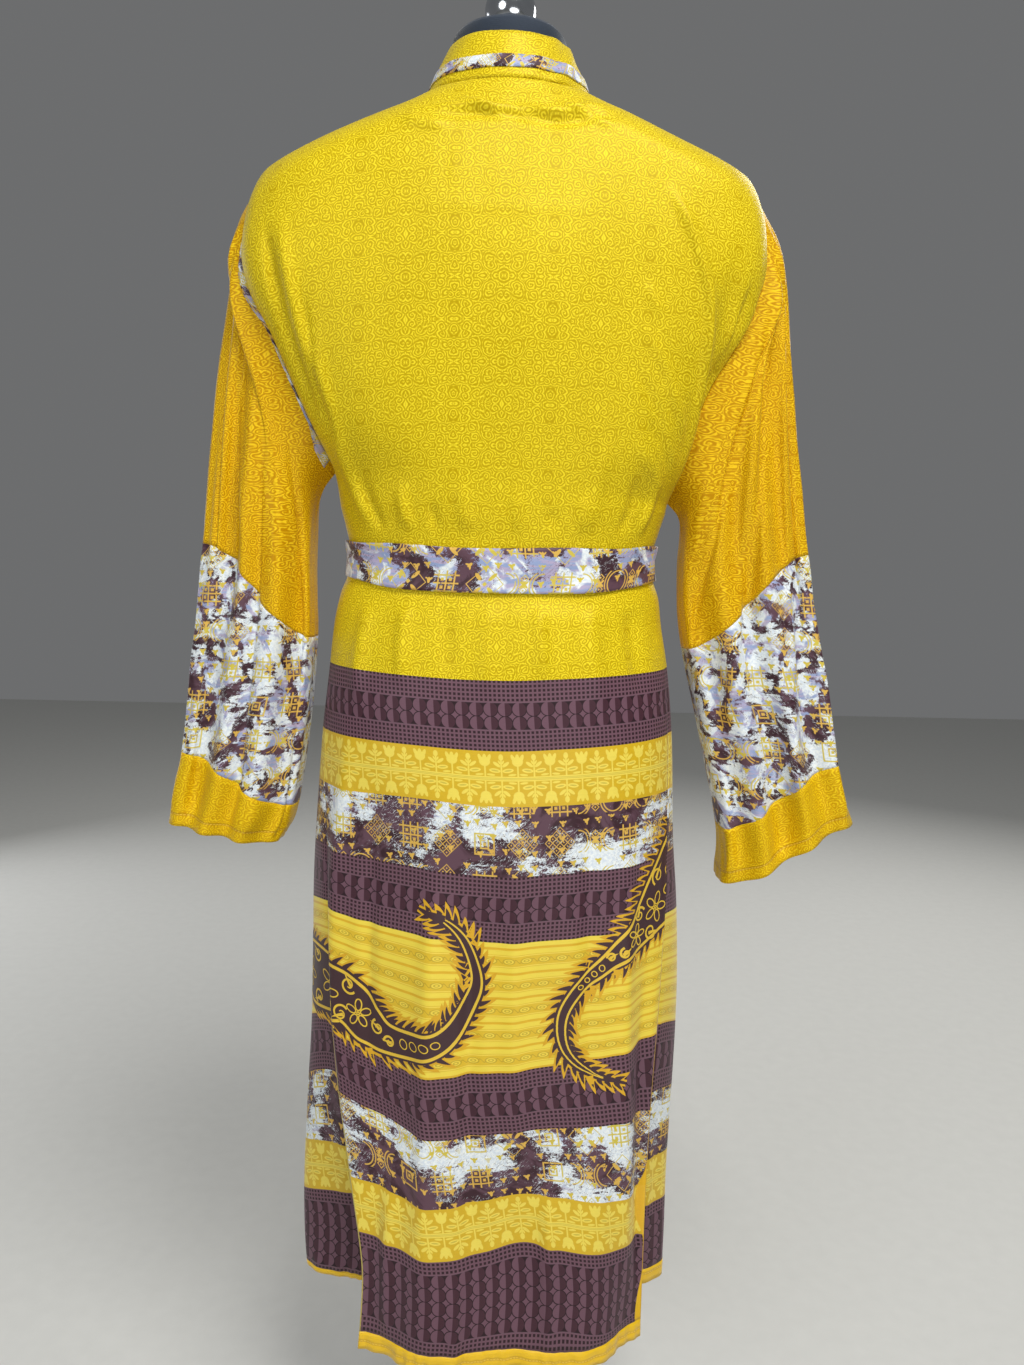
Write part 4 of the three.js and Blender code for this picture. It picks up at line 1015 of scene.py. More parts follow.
def border_materials(side):
    """The plain ground and the print of each border band; the back's have the slits' binding."""
    found, edge = [m_scroll], side == "back"
    for i, (kind, low, high, rows) in enumerate(BORDER):
        name = f"border_{i}_{kind}_{side}"
        if kind == "maroon":
            found.append(maroon_material(name, low, high, rows, edge))
        elif kind == "tulip":
            found.append(tulip_material(name, low, high, edge))
        elif kind == "stripes":
            found.append(stripes_material(name, low, edge))
        else:
            found.append(brushed_material(name, 0.11 * (i + 1), 0.035, edge, wash=0.1,
                                          dark=0.468 if low < BORDER_MIDDLE else 0.478))
    return found


back_border, front_border = border_materials("back"), border_materials("front")


def keep(piece, node):
    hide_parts(node)


back = Sheet(back_grid()).place(zero_column=len(back_angles) // 2, level_rows=back_levels)
back.raise_by(body_relief(back, BACK_CREASES, sewn_at_end=True))
seam_row = row_at(back, HEM_SEAM["back"])
keep(shell("robe_back", back.part(0, seam_row), back_border,
           row_material=band_rows(back)[:seam_row], with_edge=True), "back_panel")
keep(shell("robe_back_hem", back.part(seam_row, len(back.grid) - 1), [m_hem],
           HEM_WALL), "hem_back")

fronts = {}
for side, mirror in SIDES:
    sheet = Sheet(front_grid(mirror, HEM[side])).place(level_rows=levels(HEM[side], FRONT_STEP))
    sheet.u = sheet.u * mirror
    sheet.raise_by(body_relief(sheet, FRONT_CREASES, sewn_at_end=False))
    fronts[side] = sheet
    last = len(sheet.grid) - 1
    cut = min(row_at(sheet, HEM_SEAM[side]), last - 1)
    keep(shell(f"robe_front_{side}", sheet.part(0, cut), front_border,
               row_material=band_rows(sheet)[:cut]), f"front_{side}_panel")
    keep(shell(f"robe_front_{side}_hem", sheet.part(cut, last), [m_hem_front],
               HEM_WALL), f"hem_front_{side}")


# ---------------------------------------------------------------- neckband
COLLAR_STEPS, COLLAR_HOLLOW = 48, 14
COLLAR_RIPPLE_FROM, BAND_WAVE_TO = 1380, 1330


def band_grid(shares):
    """Up the left front, round the neck and down the right front."""
    share = shares[None, :]
    across = share * BAND["width"]
    downs = yoke_downs(YOKE_ROWS)[1:, None]

    def skirt_rows(side, mirror):
        return front_skirt(1.0, levels(HEM[side], FRONT_STEP)[:, None], mirror, across)

    def yoke_rows(mirror):
        seam = front_yoke(1.0, downs, mirror) + 0 * share[..., None]
        standing = seam + np.array([-BAND["lean"] * mirror, 0, BAND["rise"]]) * share[..., None]
        turned = smooth((NECK_Z - mix(NECK_Z, UNDERARM_Z, downs)) / BAND["turnDown"])
        return mix(standing, front_yoke(1.0, downs, mirror, across), turned[..., None])

    turn = np.linspace(0, math.pi, COLLAR_STEPS + 1)[:, None]
    angle = np.arccos(unlobe(np.cos(turn) * NECK_HALF / SHOULDER_HALF))
    seam = yoke(angle, np.zeros_like(angle), 1)
    backness = seam[..., 1] / NECK_BACK
    top = points(seam[..., 0] * (1 - BAND["lean"] / NECK_HALF),
                 seam[..., 1] - COLLAR_HOLLOW * backness,
                 seam[..., 2] + mix(BAND["rise"], BAND["backRise"], backness))
    up_left = stacked(skirt_rows("left", 1)[::-1], yoke_rows(1)[::-1])
    round_neck = np.concatenate([up_left, mix(seam, top, share[..., None]), yoke_rows(-1)])
    return stacked(round_neck, skirt_rows("right", -1))


def band_sheet(shares, lift, puff):
    """The band, or the part of it between two shares of its width, rippled round the neck."""
    sheet = Sheet(band_grid(shares), centre=(0, 0, 1000))
    if sheet.normal[len(sheet.grid) // 2, 0, 1] < 0:
        sheet.normal = -sheet.normal
    sheet.place()
    sheet.u, sheet.v = sheet.v, sheet.u
    x, z = sheet.grid[..., 0], sheet.grid[..., 2]
    wave = bumps(x, z, FRONT_CREASES) + soft_waves(x, z)
    drawn = 0.5 + 0.5 * np.sin(sheet.u / 7.0 + 2.2 * np.sin(sheet.u / 31.0) + shares * 2.0)
    ripple = 1.5 * drawn * np.abs(np.sin(sheet.u / 37.0)) * smooth((z - COLLAR_RIPPLE_FROM) / 30)
    height = (lift + wave * at_rest(z) * smooth((BAND_WAVE_TO - z) / 60) + ripple
              + puff * np.sin(math.pi * shares))
    sheet.grid = sheet.grid + sheet.normal * height[..., None]
    return sheet


band = band_sheet(np.linspace(0, 1, 13), BAND["lift"], 1.0)
keep(shell("robe_neckband", band, [m_scroll], 1.9), "neckband")
strip = band_sheet(np.linspace(*BAND_STRIP, 6), BAND["lift"] + 0.7, 1.3)
keep(shell("robe_neckband_strip", strip, [m_strip_print], STRIP_WALL),
     "neckband_strip")


# ---------------------------------------------------------------- sleeves
SLEEVE_CREASES = {
    # side and face: share across and place along at both ends, width across, height
    "left": {
        "back": [
            (0.14, 0.10, 0.22, 2.9, 0.050, 4.2), (0.34, 0.04, 0.40, 1.3, 0.045, -4.6),
            (0.52, 0.08, 0.56, 2.9, 0.055, 3.6), (0.70, 0.05, 0.73, 1.6, 0.050, -3.6),
            (0.30, 1.2, 0.37, 2.9, 0.045, -4.4), (0.76, 1.4, 0.80, 2.9, 0.050, -3.4),
            (0.14, 0.06, 0.18, 1.3, 0.024, 2.6), (0.19, 0.06, 0.29, 1.1, 0.022, -3.4),
            (0.27, 0.06, 0.44, 0.9, 0.024, 2.2)],
        "front": [
            (0.14, 0.04, 0.20, 1.4, 0.045, 4.0), (0.34, 0.04, 0.38, 1.8, 0.045, -3.6),
            (0.56, 0.04, 0.60, 1.5, 0.050, 3.8), (0.78, 0.05, 0.80, 1.9, 0.045, -3.0),
            (0.42, 1.5, 0.46, 2.9, 0.06, 3.4)]},
    "right": {
        "back": [
            (0.12, 0.06, 0.10, 1.9, 0.026, 3.0), (0.15, 0.06, 0.17, 1.7, 0.020, -3.2),
            (0.18, 0.06, 0.26, 2.0, 0.026, 3.4), (0.21, 0.06, 0.34, 1.4, 0.022, -3.8),
            (0.25, 0.06, 0.45, 1.9, 0.030, 3.2), (0.30, 0.06, 0.55, 1.2, 0.024, -3.4),
            (0.36, 0.06, 0.67, 1.7, 0.034, 2.8), (0.42, 0.06, 0.79, 1.1, 0.026, -2.4),
            (0.22, 1.3, 0.28, 2.9, 0.050, 3.8), (0.48, 1.4, 0.52, 2.9, 0.045, -4.0),
            (0.72, 1.7, 0.76, 2.9, 0.050, 3.2)],
        "front": [
            (0.14, 0.04, 0.20, 1.3, 0.045, 4.0), (0.32, 0.04, 0.38, 1.7, 0.045, -3.6),
            (0.54, 0.04, 0.58, 1.6, 0.050, 3.8), (0.76, 0.05, 0.80, 1.8, 0.045, -3.0),
            (0.38, 1.5, 0.44, 2.9, 0.06, 3.4)]},
}


def sleeve_ring(side, at, downs, facing):
    """The back or the front half of one ring of a sleeve, from its outer to its inner fold."""
    rows = SLEEVE[side]
    angle = 0.0 if side == "left" else math.pi
    ring = yoke(np.full_like(downs, angle), downs, facing)
    settled = smooth(at / SLEEVE_SETTLE)
    start, full = SLEEVE_RIPPLE["start"], SLEEVE_RIPPLE["full"]
    grown = smooth((at - start) / (full - start))
    bulge = ring[..., 0] - mix(rows["outX"][0], rows["inX"][0], downs)
    share = mix(downs, (1 - np.cos(math.pi * downs)) / 2, settled)
    slanted = mix(share, smooth(share), SLEEVE_SLANT * settled)
    phase = SLEEVE_RIPPLE["back" if facing > 0 else "front"]
    wave = np.sin(2 * math.pi * (SLEEVE_RIPPLE["count"] * share + phase))
    body = np.sin(math.pi * downs)
    ripple = SLEEVE_RIPPLE["rise"] * grown * wave * body
    full = facing * (read(rows, at, "deep") * np.sqrt(np.clip(body, 0, 1)) + ripple)
    return points(
        mix(read(rows, at, "outX"), read(rows, at, "inX"), share) + bulge * (1 - settled),
        mix(ring[..., 1], np.where(body < 1e-6, 0, full), settled),
        mix(read(rows, at, "outZ"), read(rows, at, "inZ"), slanted))


# Places of a sleeve's rings.
SLEEVE_STOPS = np.concatenate(
    [np.linspace(0, 1, 71) ** 1.15, np.linspace(1, 2, 45)[1:], np.linspace(2, 3, 19)[1:]])
HALF_COLUMNS = 104
SLEEVE_CREASE_SCALE = 1.9


def sleeve_sheet(side):
    turn = np.linspace(0, 1, HALF_COLUMNS + 1)
    downs = (1 - np.cos(math.pi * turn)) / 2
    grid = np.array([
        np.concatenate([sleeve_ring(side, at, downs, 1),
                        sleeve_ring(side, at, downs[1:-1][::-1], -1)]) for at in SLEEVE_STOPS])
    share = np.concatenate([turn, turn[1:-1][::-1]])
    behind = np.arange(len(share)) <= HALF_COLUMNS
    sheet = Sheet(grid, centre=grid.mean((0, 1)), closed=True).place()
    height = np.zeros(grid.shape[:2])
    at = SLEEVE_STOPS[:, None]
    for face, rows in SLEEVE_CREASES[side].items():
        here = behind == (face == "back")
        for s0, a0, s1, a1, width, rise in rows:
            t = (at - a0) / (a1 - a0)
            along = smooth((t + 0.06) / 0.3) * smooth((1.1 - t) / 0.35)
            away = np.abs(share - mix(s0, s1, np.clip(t, 0, 1))) / width
            ridge = 0.6 * np.exp(-away ** 2) + 0.4 * np.exp(-2.2 * away)
            height += SLEEVE_CREASE_SCALE * rise * along * ridge * here
    height *= smooth(at / 0.1) * np.sin(math.pi * share) ** 0.5
    height += 0.5 * np.sin(share * 37 + at * 5) * smooth(at / 0.2)
    return sheet.raise_by(height)


def hanging(part):
    """Places a hanging tube in flat cloth that is cut straight: level round it, and its height."""
    around = part.wrapped()
    part.u, part.v = lengths(around[..., :2], 1), around[..., 2]


SLEEVE_CUTS = [int(np.argmin(np.abs(SLEEVE_STOPS - at))) for at in (0, 1, 2, 3)]
sleeves = {side: sleeve_sheet(side) for side, _ in SIDES}
for side, _ in SIDES:
    for i, (name, material, slot, node) in enumerate((
            ("upper", m_sleeve, "sleeve_cloth", "upper"),
            ("band", m_sleeve_print, "print_cloth", "print"),
            ("cuff", m_cuff, "hem_cloth", "cuff"))):
        part = sleeves[side].part(SLEEVE_CUTS[i], SLEEVE_CUTS[i + 1])
        if name != "cuff":
            hanging(part)
        keep(shell(f"sleeve_{side}_{name}_cloth", part, [material]), f"sleeve_{side}_{node}")

# The printed strip along the left armhole seam, on the sleeve: how far it runs to either side
# of the shoulder, its least and most width, its distance from the seam and its rows.
STRIP_SHARE, STRIP_NARROW, STRIP_WIDE, STRIP_IN, STRIP_ROWS = 0.88, 2.6, 10, 0.4, 5
SEAM_ROWS = 14


def strip_width(down):
    """Wider in one short stretch and again near the underarm."""
    hump = math.exp(-((down - 0.38) / 0.1) ** 2) + float(smooth((down - 0.84) / 0.08))
    return min(STRIP_NARROW + 7.6 * hump, STRIP_WIDE)


def arm_strip_sheet(sleeve):
    reach = int(HALF_COLUMNS * STRIP_SHARE)
    columns = np.arange(-reach, reach + 1)
    grid = np.empty((STRIP_ROWS, len(columns), 3))
    for k, c in enumerate(columns):
        width = strip_width((1 - math.cos(math.pi * abs(c) / HALF_COLUMNS)) / 2)
        line = sleeve.grid[:SEAM_ROWS, c]
        run = lengths(line[:, None], 0)[:, 0]
        away = STRIP_IN + width * np.arange(STRIP_ROWS) / (STRIP_ROWS - 1)
        grid[:, k] = np.stack([np.interp(away, run, line[:, axis]) for axis in range(3)], -1)
    sheet = Sheet(grid, centre=sleeve.grid.mean((0, 1))).place()
    if np.sum(sheet.normal * sleeve.normal[:3, columns].mean(0)) < 0:
        sheet.normal = -sheet.normal
    sheet.grid = sheet.grid + sheet.normal
    return sheet


keep(shell("armhole_strip_cloth", arm_strip_sheet(sleeves["left"]), [m_strip_print],
           STRIP_WALL), "armhole_strip_left")


# ---------------------------------------------------------------- belt
def round_angles(columns):
    return (2 * math.pi * np.arange(columns) / columns)[None, :]


def belt_grid(columns=300, rows=14):
    angle, share = round_angles(columns), np.linspace(0, 1, rows + 1)[:, None]
    backness = np.maximum(0, np.sin(angle)) ** 2
    top = mix(BELT_EDGES["topSide"], BELT_EDGES["topBack"], backness) + 0.8 * np.sin(angle * 7 + 1)
    foot = mix(BELT_EDGES["footSide"], BELT_EDGES["footBack"], backness) + 0.9 * np.sin(angle * 5)
    p = skirt(angle + 0 * share, mix(top, foot, share))
    clear = mix(BELT["clear"], BELT["frontClear"], smooth(-np.sin(angle) * 1.6)) + BELT["wall"]
    folds = 0.45 * np.sin(share * 9 + np.sin(angle * 3) * 2) + 0.5 * np.sin(angle * 11 + share * 4)
    return lifted(p, angle, clear + 0.4 + folds)


belt = Sheet(belt_grid(), centre=(0, 0, BELT_MIDDLE), closed=True).place()
keep(shell("belt_cloth", belt, [m_belt], BELT_WALL), "belt")
belt_y = skirt(np.array(-math.pi / 2), np.array(KNOT_Z))[1] - BELT["frontClear"] - BELT["wall"]


def knot_sheet():
    """A soft round knot lying across, with one turn of the belt standing proud round its middle."""
    ring = round_angles(64)
    layer = np.linspace(0.04, math.pi * 0.96, 40)[:, None]
    x = -np.cos(layer) * KNOT["width"] / 2
    turn = np.exp(-((x - 2 * np.sin(ring)) / 7) ** 4)
    folds = 0.04 * np.sin(ring * 4 + x / 3.1) + 0.02 * np.sin(ring * 9 - x / 2.3)
    scale = np.sin(layer) ** 0.5 * (0.84 + 0.1 * turn + folds)
    middle = belt_y - KNOT["gap"] - KNOT["depth"] / 2
    y = middle - np.cos(ring) * scale * KNOT["depth"] / 2
    z = KNOT_Z + np.sin(ring) * scale * KNOT["height"] / 2
    return Sheet(points(x, y, z), centre=(0, middle, KNOT_Z), closed=True).place()


def tail_sheet(mirror, columns=21, rows=110):
    top = KNOT_Z - KNOT["height"] / 2 - TAIL["gap"]
    z = np.linspace(top, top - TAIL["length"], rows + 1)[:, None]
    edge = np.linspace(-1, 1, columns)[None, :]
    centre = mirror * (TAIL["width"] / 2 + 1 + TAIL["spread"] * (top - z))
    x = centre + edge * TAIL["width"] / 2 * mix(0.72, 1, smooth((top - z) / 60))
    z = z + 0 * x
    halves = np.where(x > 0, read(WIDTH, z, "left"), read(WIDTH, z, "right"))
    fold = 1.6 * np.sin(edge * 4 + z / 60) * smooth((top - z) / 50) + 1.6
    away = BELT["frontClear"] + TAIL["clear"] + TAIL["wall"] + fold
    return Sheet(points(x, skirt(angle_at(x, halves), z)[..., 1] - away, z)).place()


for side, mirror in SIDES:
    keep(shell(f"belt_tail_{side}_cloth", tail_sheet(mirror), [m_belt], BELT_WALL),
         f"belt_tail_{side}")


# ---------------------------------------------------------------- feathered motifs of the border
def smooth_line(rows, count):
    """A smooth line through rows of values, spaced evenly along its first two columns."""
    rows = np.array(rows, float)
    fine = np.linspace(0, len(rows) - 1, 400)
    found = np.stack([read({"at": np.arange(len(rows), dtype=float), "y": column}, fine, "y")
                      for column in rows.T], -1)
    run = lengths(found[:, :2], 0)
    even = np.linspace(0, run[-1], count)
    return np.stack([np.interp(even, run, column) for column in found.T], -1), run[-1]


# The motifs' spines: u across the back, height, half width of the body.
FEATHER_LEFT = [
    (262, 588, 3), (250, 590, 22), (226, 594, 36), (196, 595, 37), (158, 590, 29), (133, 570, 25),
    (108, 559, 18), (68, 560, 15), (45, 573, 12), (28, 600, 10), (21, 626, 8), (34, 662, 6.4),
    (54, 682, 4.6), (79, 692, 1.2)]
FEATHER_RIGHT = [
    (-214, 716, 56), (-190, 704, 44), (-172, 693, 35), (-155, 679, 27), (-139, 665, 20.5),
    (-118, 650, 14.5), (-96, 633, 10.5), (-72, 611, 8.5), (-60, 586, 7.6), (-63, 556, 6.4),
    (-84, 533, 4.6), (-118, 519, 1.2)]
MOTIF_MATERIALS = [
    plain_print("motif_maroon", rgb(58, 30, 36)), plain_print("motif_gold", rgb(214, 164, 18)),
    plain_print("motif_yellow", rgb(222, 184, 52))]
# Inks: how high each lies on the cloth, and its material.
MAROON, GOLD, YELLOW = 0, 1, 2
HALO, HALO_FEATHER = (0.2, GOLD), (0.24, GOLD)
BODY, BODY_FEATHER = (0.32, MAROON), (0.34, MAROON)
INNER_LINE, TOP_LINE = (0.44, YELLOW), (0.54, YELLOW)
HALO_WIDTH, HALO_RIBBONS, BODY_RIBBONS = 2.2, 22, 24
FEATHER_SIZE, FEATHER_EVERY = 11.0, 8.6
SPINE_STEPS = 240
# Inside the body: shares of the way along it, with the share aside and the hand of the curls.
RINGS = (0.56, 0.53, 0.5, 0.47)
CURLS = ((0.43, 0.15, 1), (0.385, -0.2, -1), (0.275, 0.55, -1), (0.275, -0.55, 1), (0.15, 0.6, 1),
         (0.15, -0.6, -1), (0.03, 0.5, 1), (0.03, -0.5, -1))
FLOWERS = (0.325, 0.21, 0.085)


def unit(v):
    return v / np.linalg.norm(v, axis=-1, keepdims=True)


def quarter_turn(v):
    return np.stack([-v[..., 1], v[..., 0]], -1)


class Print:
    """Flat shapes laid on a panel, worked out in the cloth's own plane: the distance aside, at
    the sheet's own u through a sign and an offset, and the height."""

    def __init__(self, sheet, sign, offset):
        self.sheet, self.sign, self.offset = sheet, sign, offset
        self.vertices, self.faces, self.colours, self.flat, self.inside = [], [], [], [], []

    def on_cloth(self, flat, lift):
        grid, normal, u = self.sheet.grid, self.sheet.normal, self.sheet.u
        row = len(grid) * 2 // 3
        for aside, height in flat:
            at = self.sign * aside + self.offset
            for _ in range(2):
                spot = np.interp(at, u[row], np.arange(u.shape[1]))
                c = min(int(spot), u.shape[1] - 2)
                f = spot - c
                z = mix(grid[:, c, 2], grid[:, c + 1, 2], f)
                row = int(np.clip(np.searchsorted(-z, -height) - 1, 0, len(z) - 2))
            self.inside.append(bool(u[row, 0] < at < u[row, -1]))
            t = float(np.clip((z[row] - height) / (z[row] - z[row + 1]), 0, 1))
            above, under = (mix(grid[r, c], grid[r, c + 1], f)
                            + mix(normal[r, c], normal[r, c + 1], f) * lift
                            for r in (row, row + 1))
            self.vertices.append(mix(above, under, t).tolist())

    def ribbon(self, left, right, ink):
        """Faces between two lines of the same length in the flat cloth."""
        lift, colour = ink
        flat = np.concatenate([left, right])
        start, count = len(self.vertices), len(left)
        self.on_cloth(flat, lift)
        self.flat.extend(flat.tolist())
        for i in range(start, start + count - 1):
            self.faces.append((i, i + 1, count + i + 1, count + i))
            self.colours.append(colour)

    def wide(self, left, right, steps, ink):
        """A broad area in several ribbons, so that it follows the cloth."""
        for i in range(steps):
            self.ribbon(mix(left, right, i / steps), mix(left, right, (i + 1) / steps), ink)

    def stroke(self, line, width, ink):
        along = np.gradient(line, axis=0)
        size = np.maximum(np.linalg.norm(along, axis=1, keepdims=True), 1e-6)
        aside = quarter_turn(along) / size
        half_width = np.broadcast_to(np.asarray(width, float) / 2, (len(line),))[:, None]
        self.ribbon(line + aside * half_width, line - aside * half_width, ink)

    def leaf(self, foot, way, length, width, bend, ink):
        """A pointed flame from its foot, along a way, bending aside."""
        t = np.linspace(0, 1, 7)
        way = unit(way)
        line = foot + np.outer(t * length, way) + np.outer(bend * t * t, quarter_turn(way))
        self.stroke(line, width * (1 - t) ** 0.75 + 0.15, ink)

    def loop(self, centre, long, short, turn, width, ink):
        t = np.linspace(0, 1, 25) * 2 * math.pi
        along = np.array([math.cos(turn), math.sin(turn)])
        line = (centre + np.outer(long * np.cos(t), along)
                + np.outer(short * np.sin(t), quarter_turn(along)))
        self.stroke(line, width, ink)

    def curl(self, centre, size, turns, start, hand, width, ink):
        t = np.linspace(0, 1, 36)
        radius = (size * (1 - 0.78 * t))[:, None]
        angle = start + hand * t * turns * 2 * math.pi
        line = centre + radius * np.stack([np.cos(angle), np.sin(angle)], -1)
        self.stroke(line, width * (1 - 0.5 * t), ink)

    def object(self, name):
        """One mesh of the faces that lie on the panel, all facing away from the body."""
        verts, faces, colours = np.array(self.vertices), [], []
        for face, colour in zip(self.faces, self.colours):
            if any(self.inside[i] for i in face):
                a, b, d = verts[face[0]], verts[face[1]], verts[face[3]]
                from_axis = (a + b) / 2 * (1, 1, 0)
                faces.append(face if np.cross(b - a, d - a) @ from_axis >= 0 else face[::-1])
                colours.append(colour)
        return mesh_object(name, verts, faces, np.array(self.flat)[np.array(faces)],
                           MOTIF_MATERIALS, colours)


class Spine:
    """The middle line of a motif, with its directions and half widths."""

    def __init__(self, rows):
        line, self.length = smooth_line(rows, SPINE_STEPS)
        self.centre, self.half_width = line[:, :2], line[:, 2]
        self.along = unit(np.gradient(self.centre, axis=0))
        self.aside = quarter_turn(self.along)

    def offset(self, by):
        return self.centre + self.aside * by[:, None]

    def at(self, share):
        """The middle, the directions along and aside, and the half width at a share of it."""
        i = int(share * (SPINE_STEPS - 1))
        return self.centre[i], self.along[i], self.aside[i], float(self.half_width[i])


def feather_edge(pattern, spine, hand, outer):
    """Feathers along one edge, longer round the outside of the curl."""
    place, count = 4.0, 0
    while place < spine.length - 4:
        centre, along, aside, wide = spine.at(place / spine.length)
        size = FEATHER_SIZE + 3.0 * math.sin(count * 1.9) + (1.0 if outer else -1.5)
        size *= min(1.0, 0.5 + wide / 12)
        way, foot = aside * hand + along * 0.75, centre + aside * hand * (wide - 1.0)
        pattern.leaf(foot, way, size + 6.5, 8.4, -hand * 2.6, HALO_FEATHER)
        pattern.leaf(foot, way, size, 5.4, -hand * 2.0, BODY_FEATHER)
        place += FEATHER_EVERY + 1.2 * math.sin(count * 2.3)
        count += 1


def flower(pattern, share, spot, wide):
    size = 2.2 + wide * 0.17
    for k in range(5):
        angle = k * 2 * math.pi / 5 + share * 9
        petal = spot + np.array([math.cos(angle), math.sin(angle)]) * size * 1.25
        pattern.loop(petal, size * 0.85, size * 0.5, angle, 1.3, TOP_LINE)
    pattern.loop(spot, 1.3, 1.3, 0, 1.3, TOP_LINE)


def feathered(name, spine_rows, outer_hand, sheet=back, sign=-1, offset=0.0):
    """A long-tailed motif with a feathered edge, a lined body, and curls and rings inside."""
    pattern, spine = Print(sheet, sign, offset), Spine(spine_rows)
    glow = spine.half_width + HALO_WIDTH
    pattern.wide(spine.offset(glow), spine.offset(-glow), HALO_RIBBONS, HALO)
    pattern.wide(spine.offset(spine.half_width), spine.offset(-spine.half_width), BODY_RIBBONS,
                 BODY)
    for hand in (1, -1):
        feather_edge(pattern, spine, hand, hand == outer_hand)
    inner = np.maximum(spine.half_width * 0.95 - 3.0, 0.5)
    line_width = np.clip(spine.half_width * 0.26, 0.6, 3.2)
    stop = int(SPINE_STEPS * 0.93)
    for hand in (1, -1):
        pattern.stroke(spine.offset(inner * hand)[:stop], line_width[:stop], INNER_LINE)
    for k, share in enumerate(RINGS):
        centre, _, _, wide = spine.at(share)
        size = max(1.3, wide * 0.24)
        pattern.loop(centre, size * 1.2, size, 0.4 * k, 1.0, TOP_LINE)
    for k, (share, off, hand) in enumerate(CURLS):
        centre, along, aside, wide = spine.at(share)
        spot = centre + aside * off * wide
        pattern.curl(spot, 1 + min(wide * 0.3, 8), 1.25, k * 1.3, hand, 2.4, TOP_LINE)
        pattern.leaf(spot + along * 3, aside * off - along, 7 + wide * 0.25, 3.6, 2.5 * hand,
                     TOP_LINE)
    for share in FLOWERS:
        centre, _, _, wide = spine.at(share)
        flower(pattern, share, centre, wide)
    return pattern.object(name)


# The left motif goes on over the left front, past the side seam, from the back's own edge.
left_edge = float(back.u[row_at(back, 600), 0])
motif_left = feathered("border_motif_left", FEATHER_LEFT, -1)
motif_right = feathered("border_motif_right", FEATHER_RIGHT, 1)
motif_left_front = feathered("border_motif_left_front", FEATHER_LEFT, -1, fronts["left"], 1,
                             left_edge)


# ---------------------------------------------------------------- dress form and stand
KNIT_PITCH, FORM_SEAM_EVERY = 0.0016, 0.19
FORM_ROWS = ((776, 1380, 110), (1380, 1446, 34), (1446, 1494, 14), (1494, 1498, 6))


def knit_material():
    """A close knit with fine specks and a seam at even distances round the form."""
    net = Net("form_cover_knit", roughness=0.75, sheen=0.25, specular=0.3)
    u, v = net.uv()
    knit = sine(u * (2 * math.pi / KNIT_PITCH)) * sine(v * (2 * math.pi / KNIT_PITCH))
    speck = net.noise(net.vector(u * 400, v * 400), 1.0, 2.0)
    seam = below(abs(fraction(u / FORM_SEAM_EVERY + 0.5) - 0.5), 0.006, 0.003)
    colour = net.blend(speck * 0.4, rgb(34, 44, 58), rgb(58, 68, 82))
    colour = net.blend(seam * 0.6, colour, rgb(20, 26, 36))
    return net.finish(colour, knit * 0.4 + speck * 0.6 - seam * 1.5, 0.0004, 0.4)


def speckled(net, scale):
    u, v = net.uv()
    return net.noise(net.vector(u * scale, v * scale), 1.0, 3.0)


def disc_material():
    net = Net("form_top_disc", roughness=0.5, specular=0.4)
    speck = speckled(net, 300)
    return net.finish(net.blend(speck, rgb(58, 66, 76), rgb(76, 84, 94)), speck, 0.0003, 0.3)


def chrome_material():
    net = Net("knob_chrome", roughness=0.12, metallic=1.0)
    haze = speckled(net, 120)
    net.feed(net.shader.inputs["Roughness"], haze * 0.12 + 0.06)
    return net.finish(net.blend(haze, rgb(196, 200, 206), rgb(214, 217, 221)), haze, 0.0001, 0.1)


def enamel_material():
    net = Net("stand_enamel", roughness=0.4)
    speck = speckled(net, 500)
    u, v = net.uv()
    scuff = step(net.noise(net.vector(u * 20, v * 20), 1.0, 5.0, 0.7), 0.62, 0.72)
    net.feed(net.shader.inputs["Roughness"], speck * 0.12 + scuff * 0.15 + 0.3)
    return net.finish(net.blend(scuff * 0.5, rgb(38, 40, 44), rgb(70, 72, 76)), speck, 0.0002, 0.35)


def form_sheet():
    z = np.unique(np.concatenate([np.linspace(*row) for row in FORM_ROWS]))[::-1][:, None]
    angle = round_angles(112)
    across, deep = lobe(np.cos(angle), FORM_SQUARENESS), lobe(np.sin(angle), FORM_SQUARENESS)
    depth = np.where(np.sin(angle) > 0, read(FORM, z, "back"), read(FORM, z, "front"))
    return Sheet(points(read(FORM, z, "half") * across, depth * deep, z), centre=(0, 0, 1130),
                 closed=True).place()


def capped(name, sheet, materials, cap_material=0):
    """A closed body from a stack of rings, with its first and last ring filled."""
    _, places, corners = quads(sheet)
    faces = corners.tolist()
    uv = [at_corners(sheet.u, sheet.v, places).reshape(-1, 2)]
    indices = [0] * len(faces)
    vertices = sheet.grid.reshape(-1, 3).tolist()
    columns = sheet.grid.shape[1]
    last = len(vertices)
    for ring in (range(columns), range(last - 1, last - columns - 1, -1)):
        middle = len(vertices)
        vertices.append(np.mean([vertices[k] for k in ring], 0).tolist())
        for k in range(columns):
            face = (middle, ring[k], ring[(k + 1) % columns])
            faces.append(face)
            uv.append(np.array([vertices[i][:2] for i in face]))
            indices.append(cap_material)
    piece = mesh_object(name, vertices, faces, np.concatenate(uv), materials, indices)
    piece.data.validate()
    work = bmesh.new()
    work.from_mesh(piece.data)
    bmesh.ops.recalc_face_normals(work, faces=work.faces)
    work.to_mesh(piece.data)
    work.free()
    return piece


knot_piece = capped("belt_knot_cloth", knot_sheet(), [m_belt])
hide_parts("belt_knot")
form = capped("dress_form", form_sheet(), [knit_material(), disc_material()], 1)
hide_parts("form_torso")


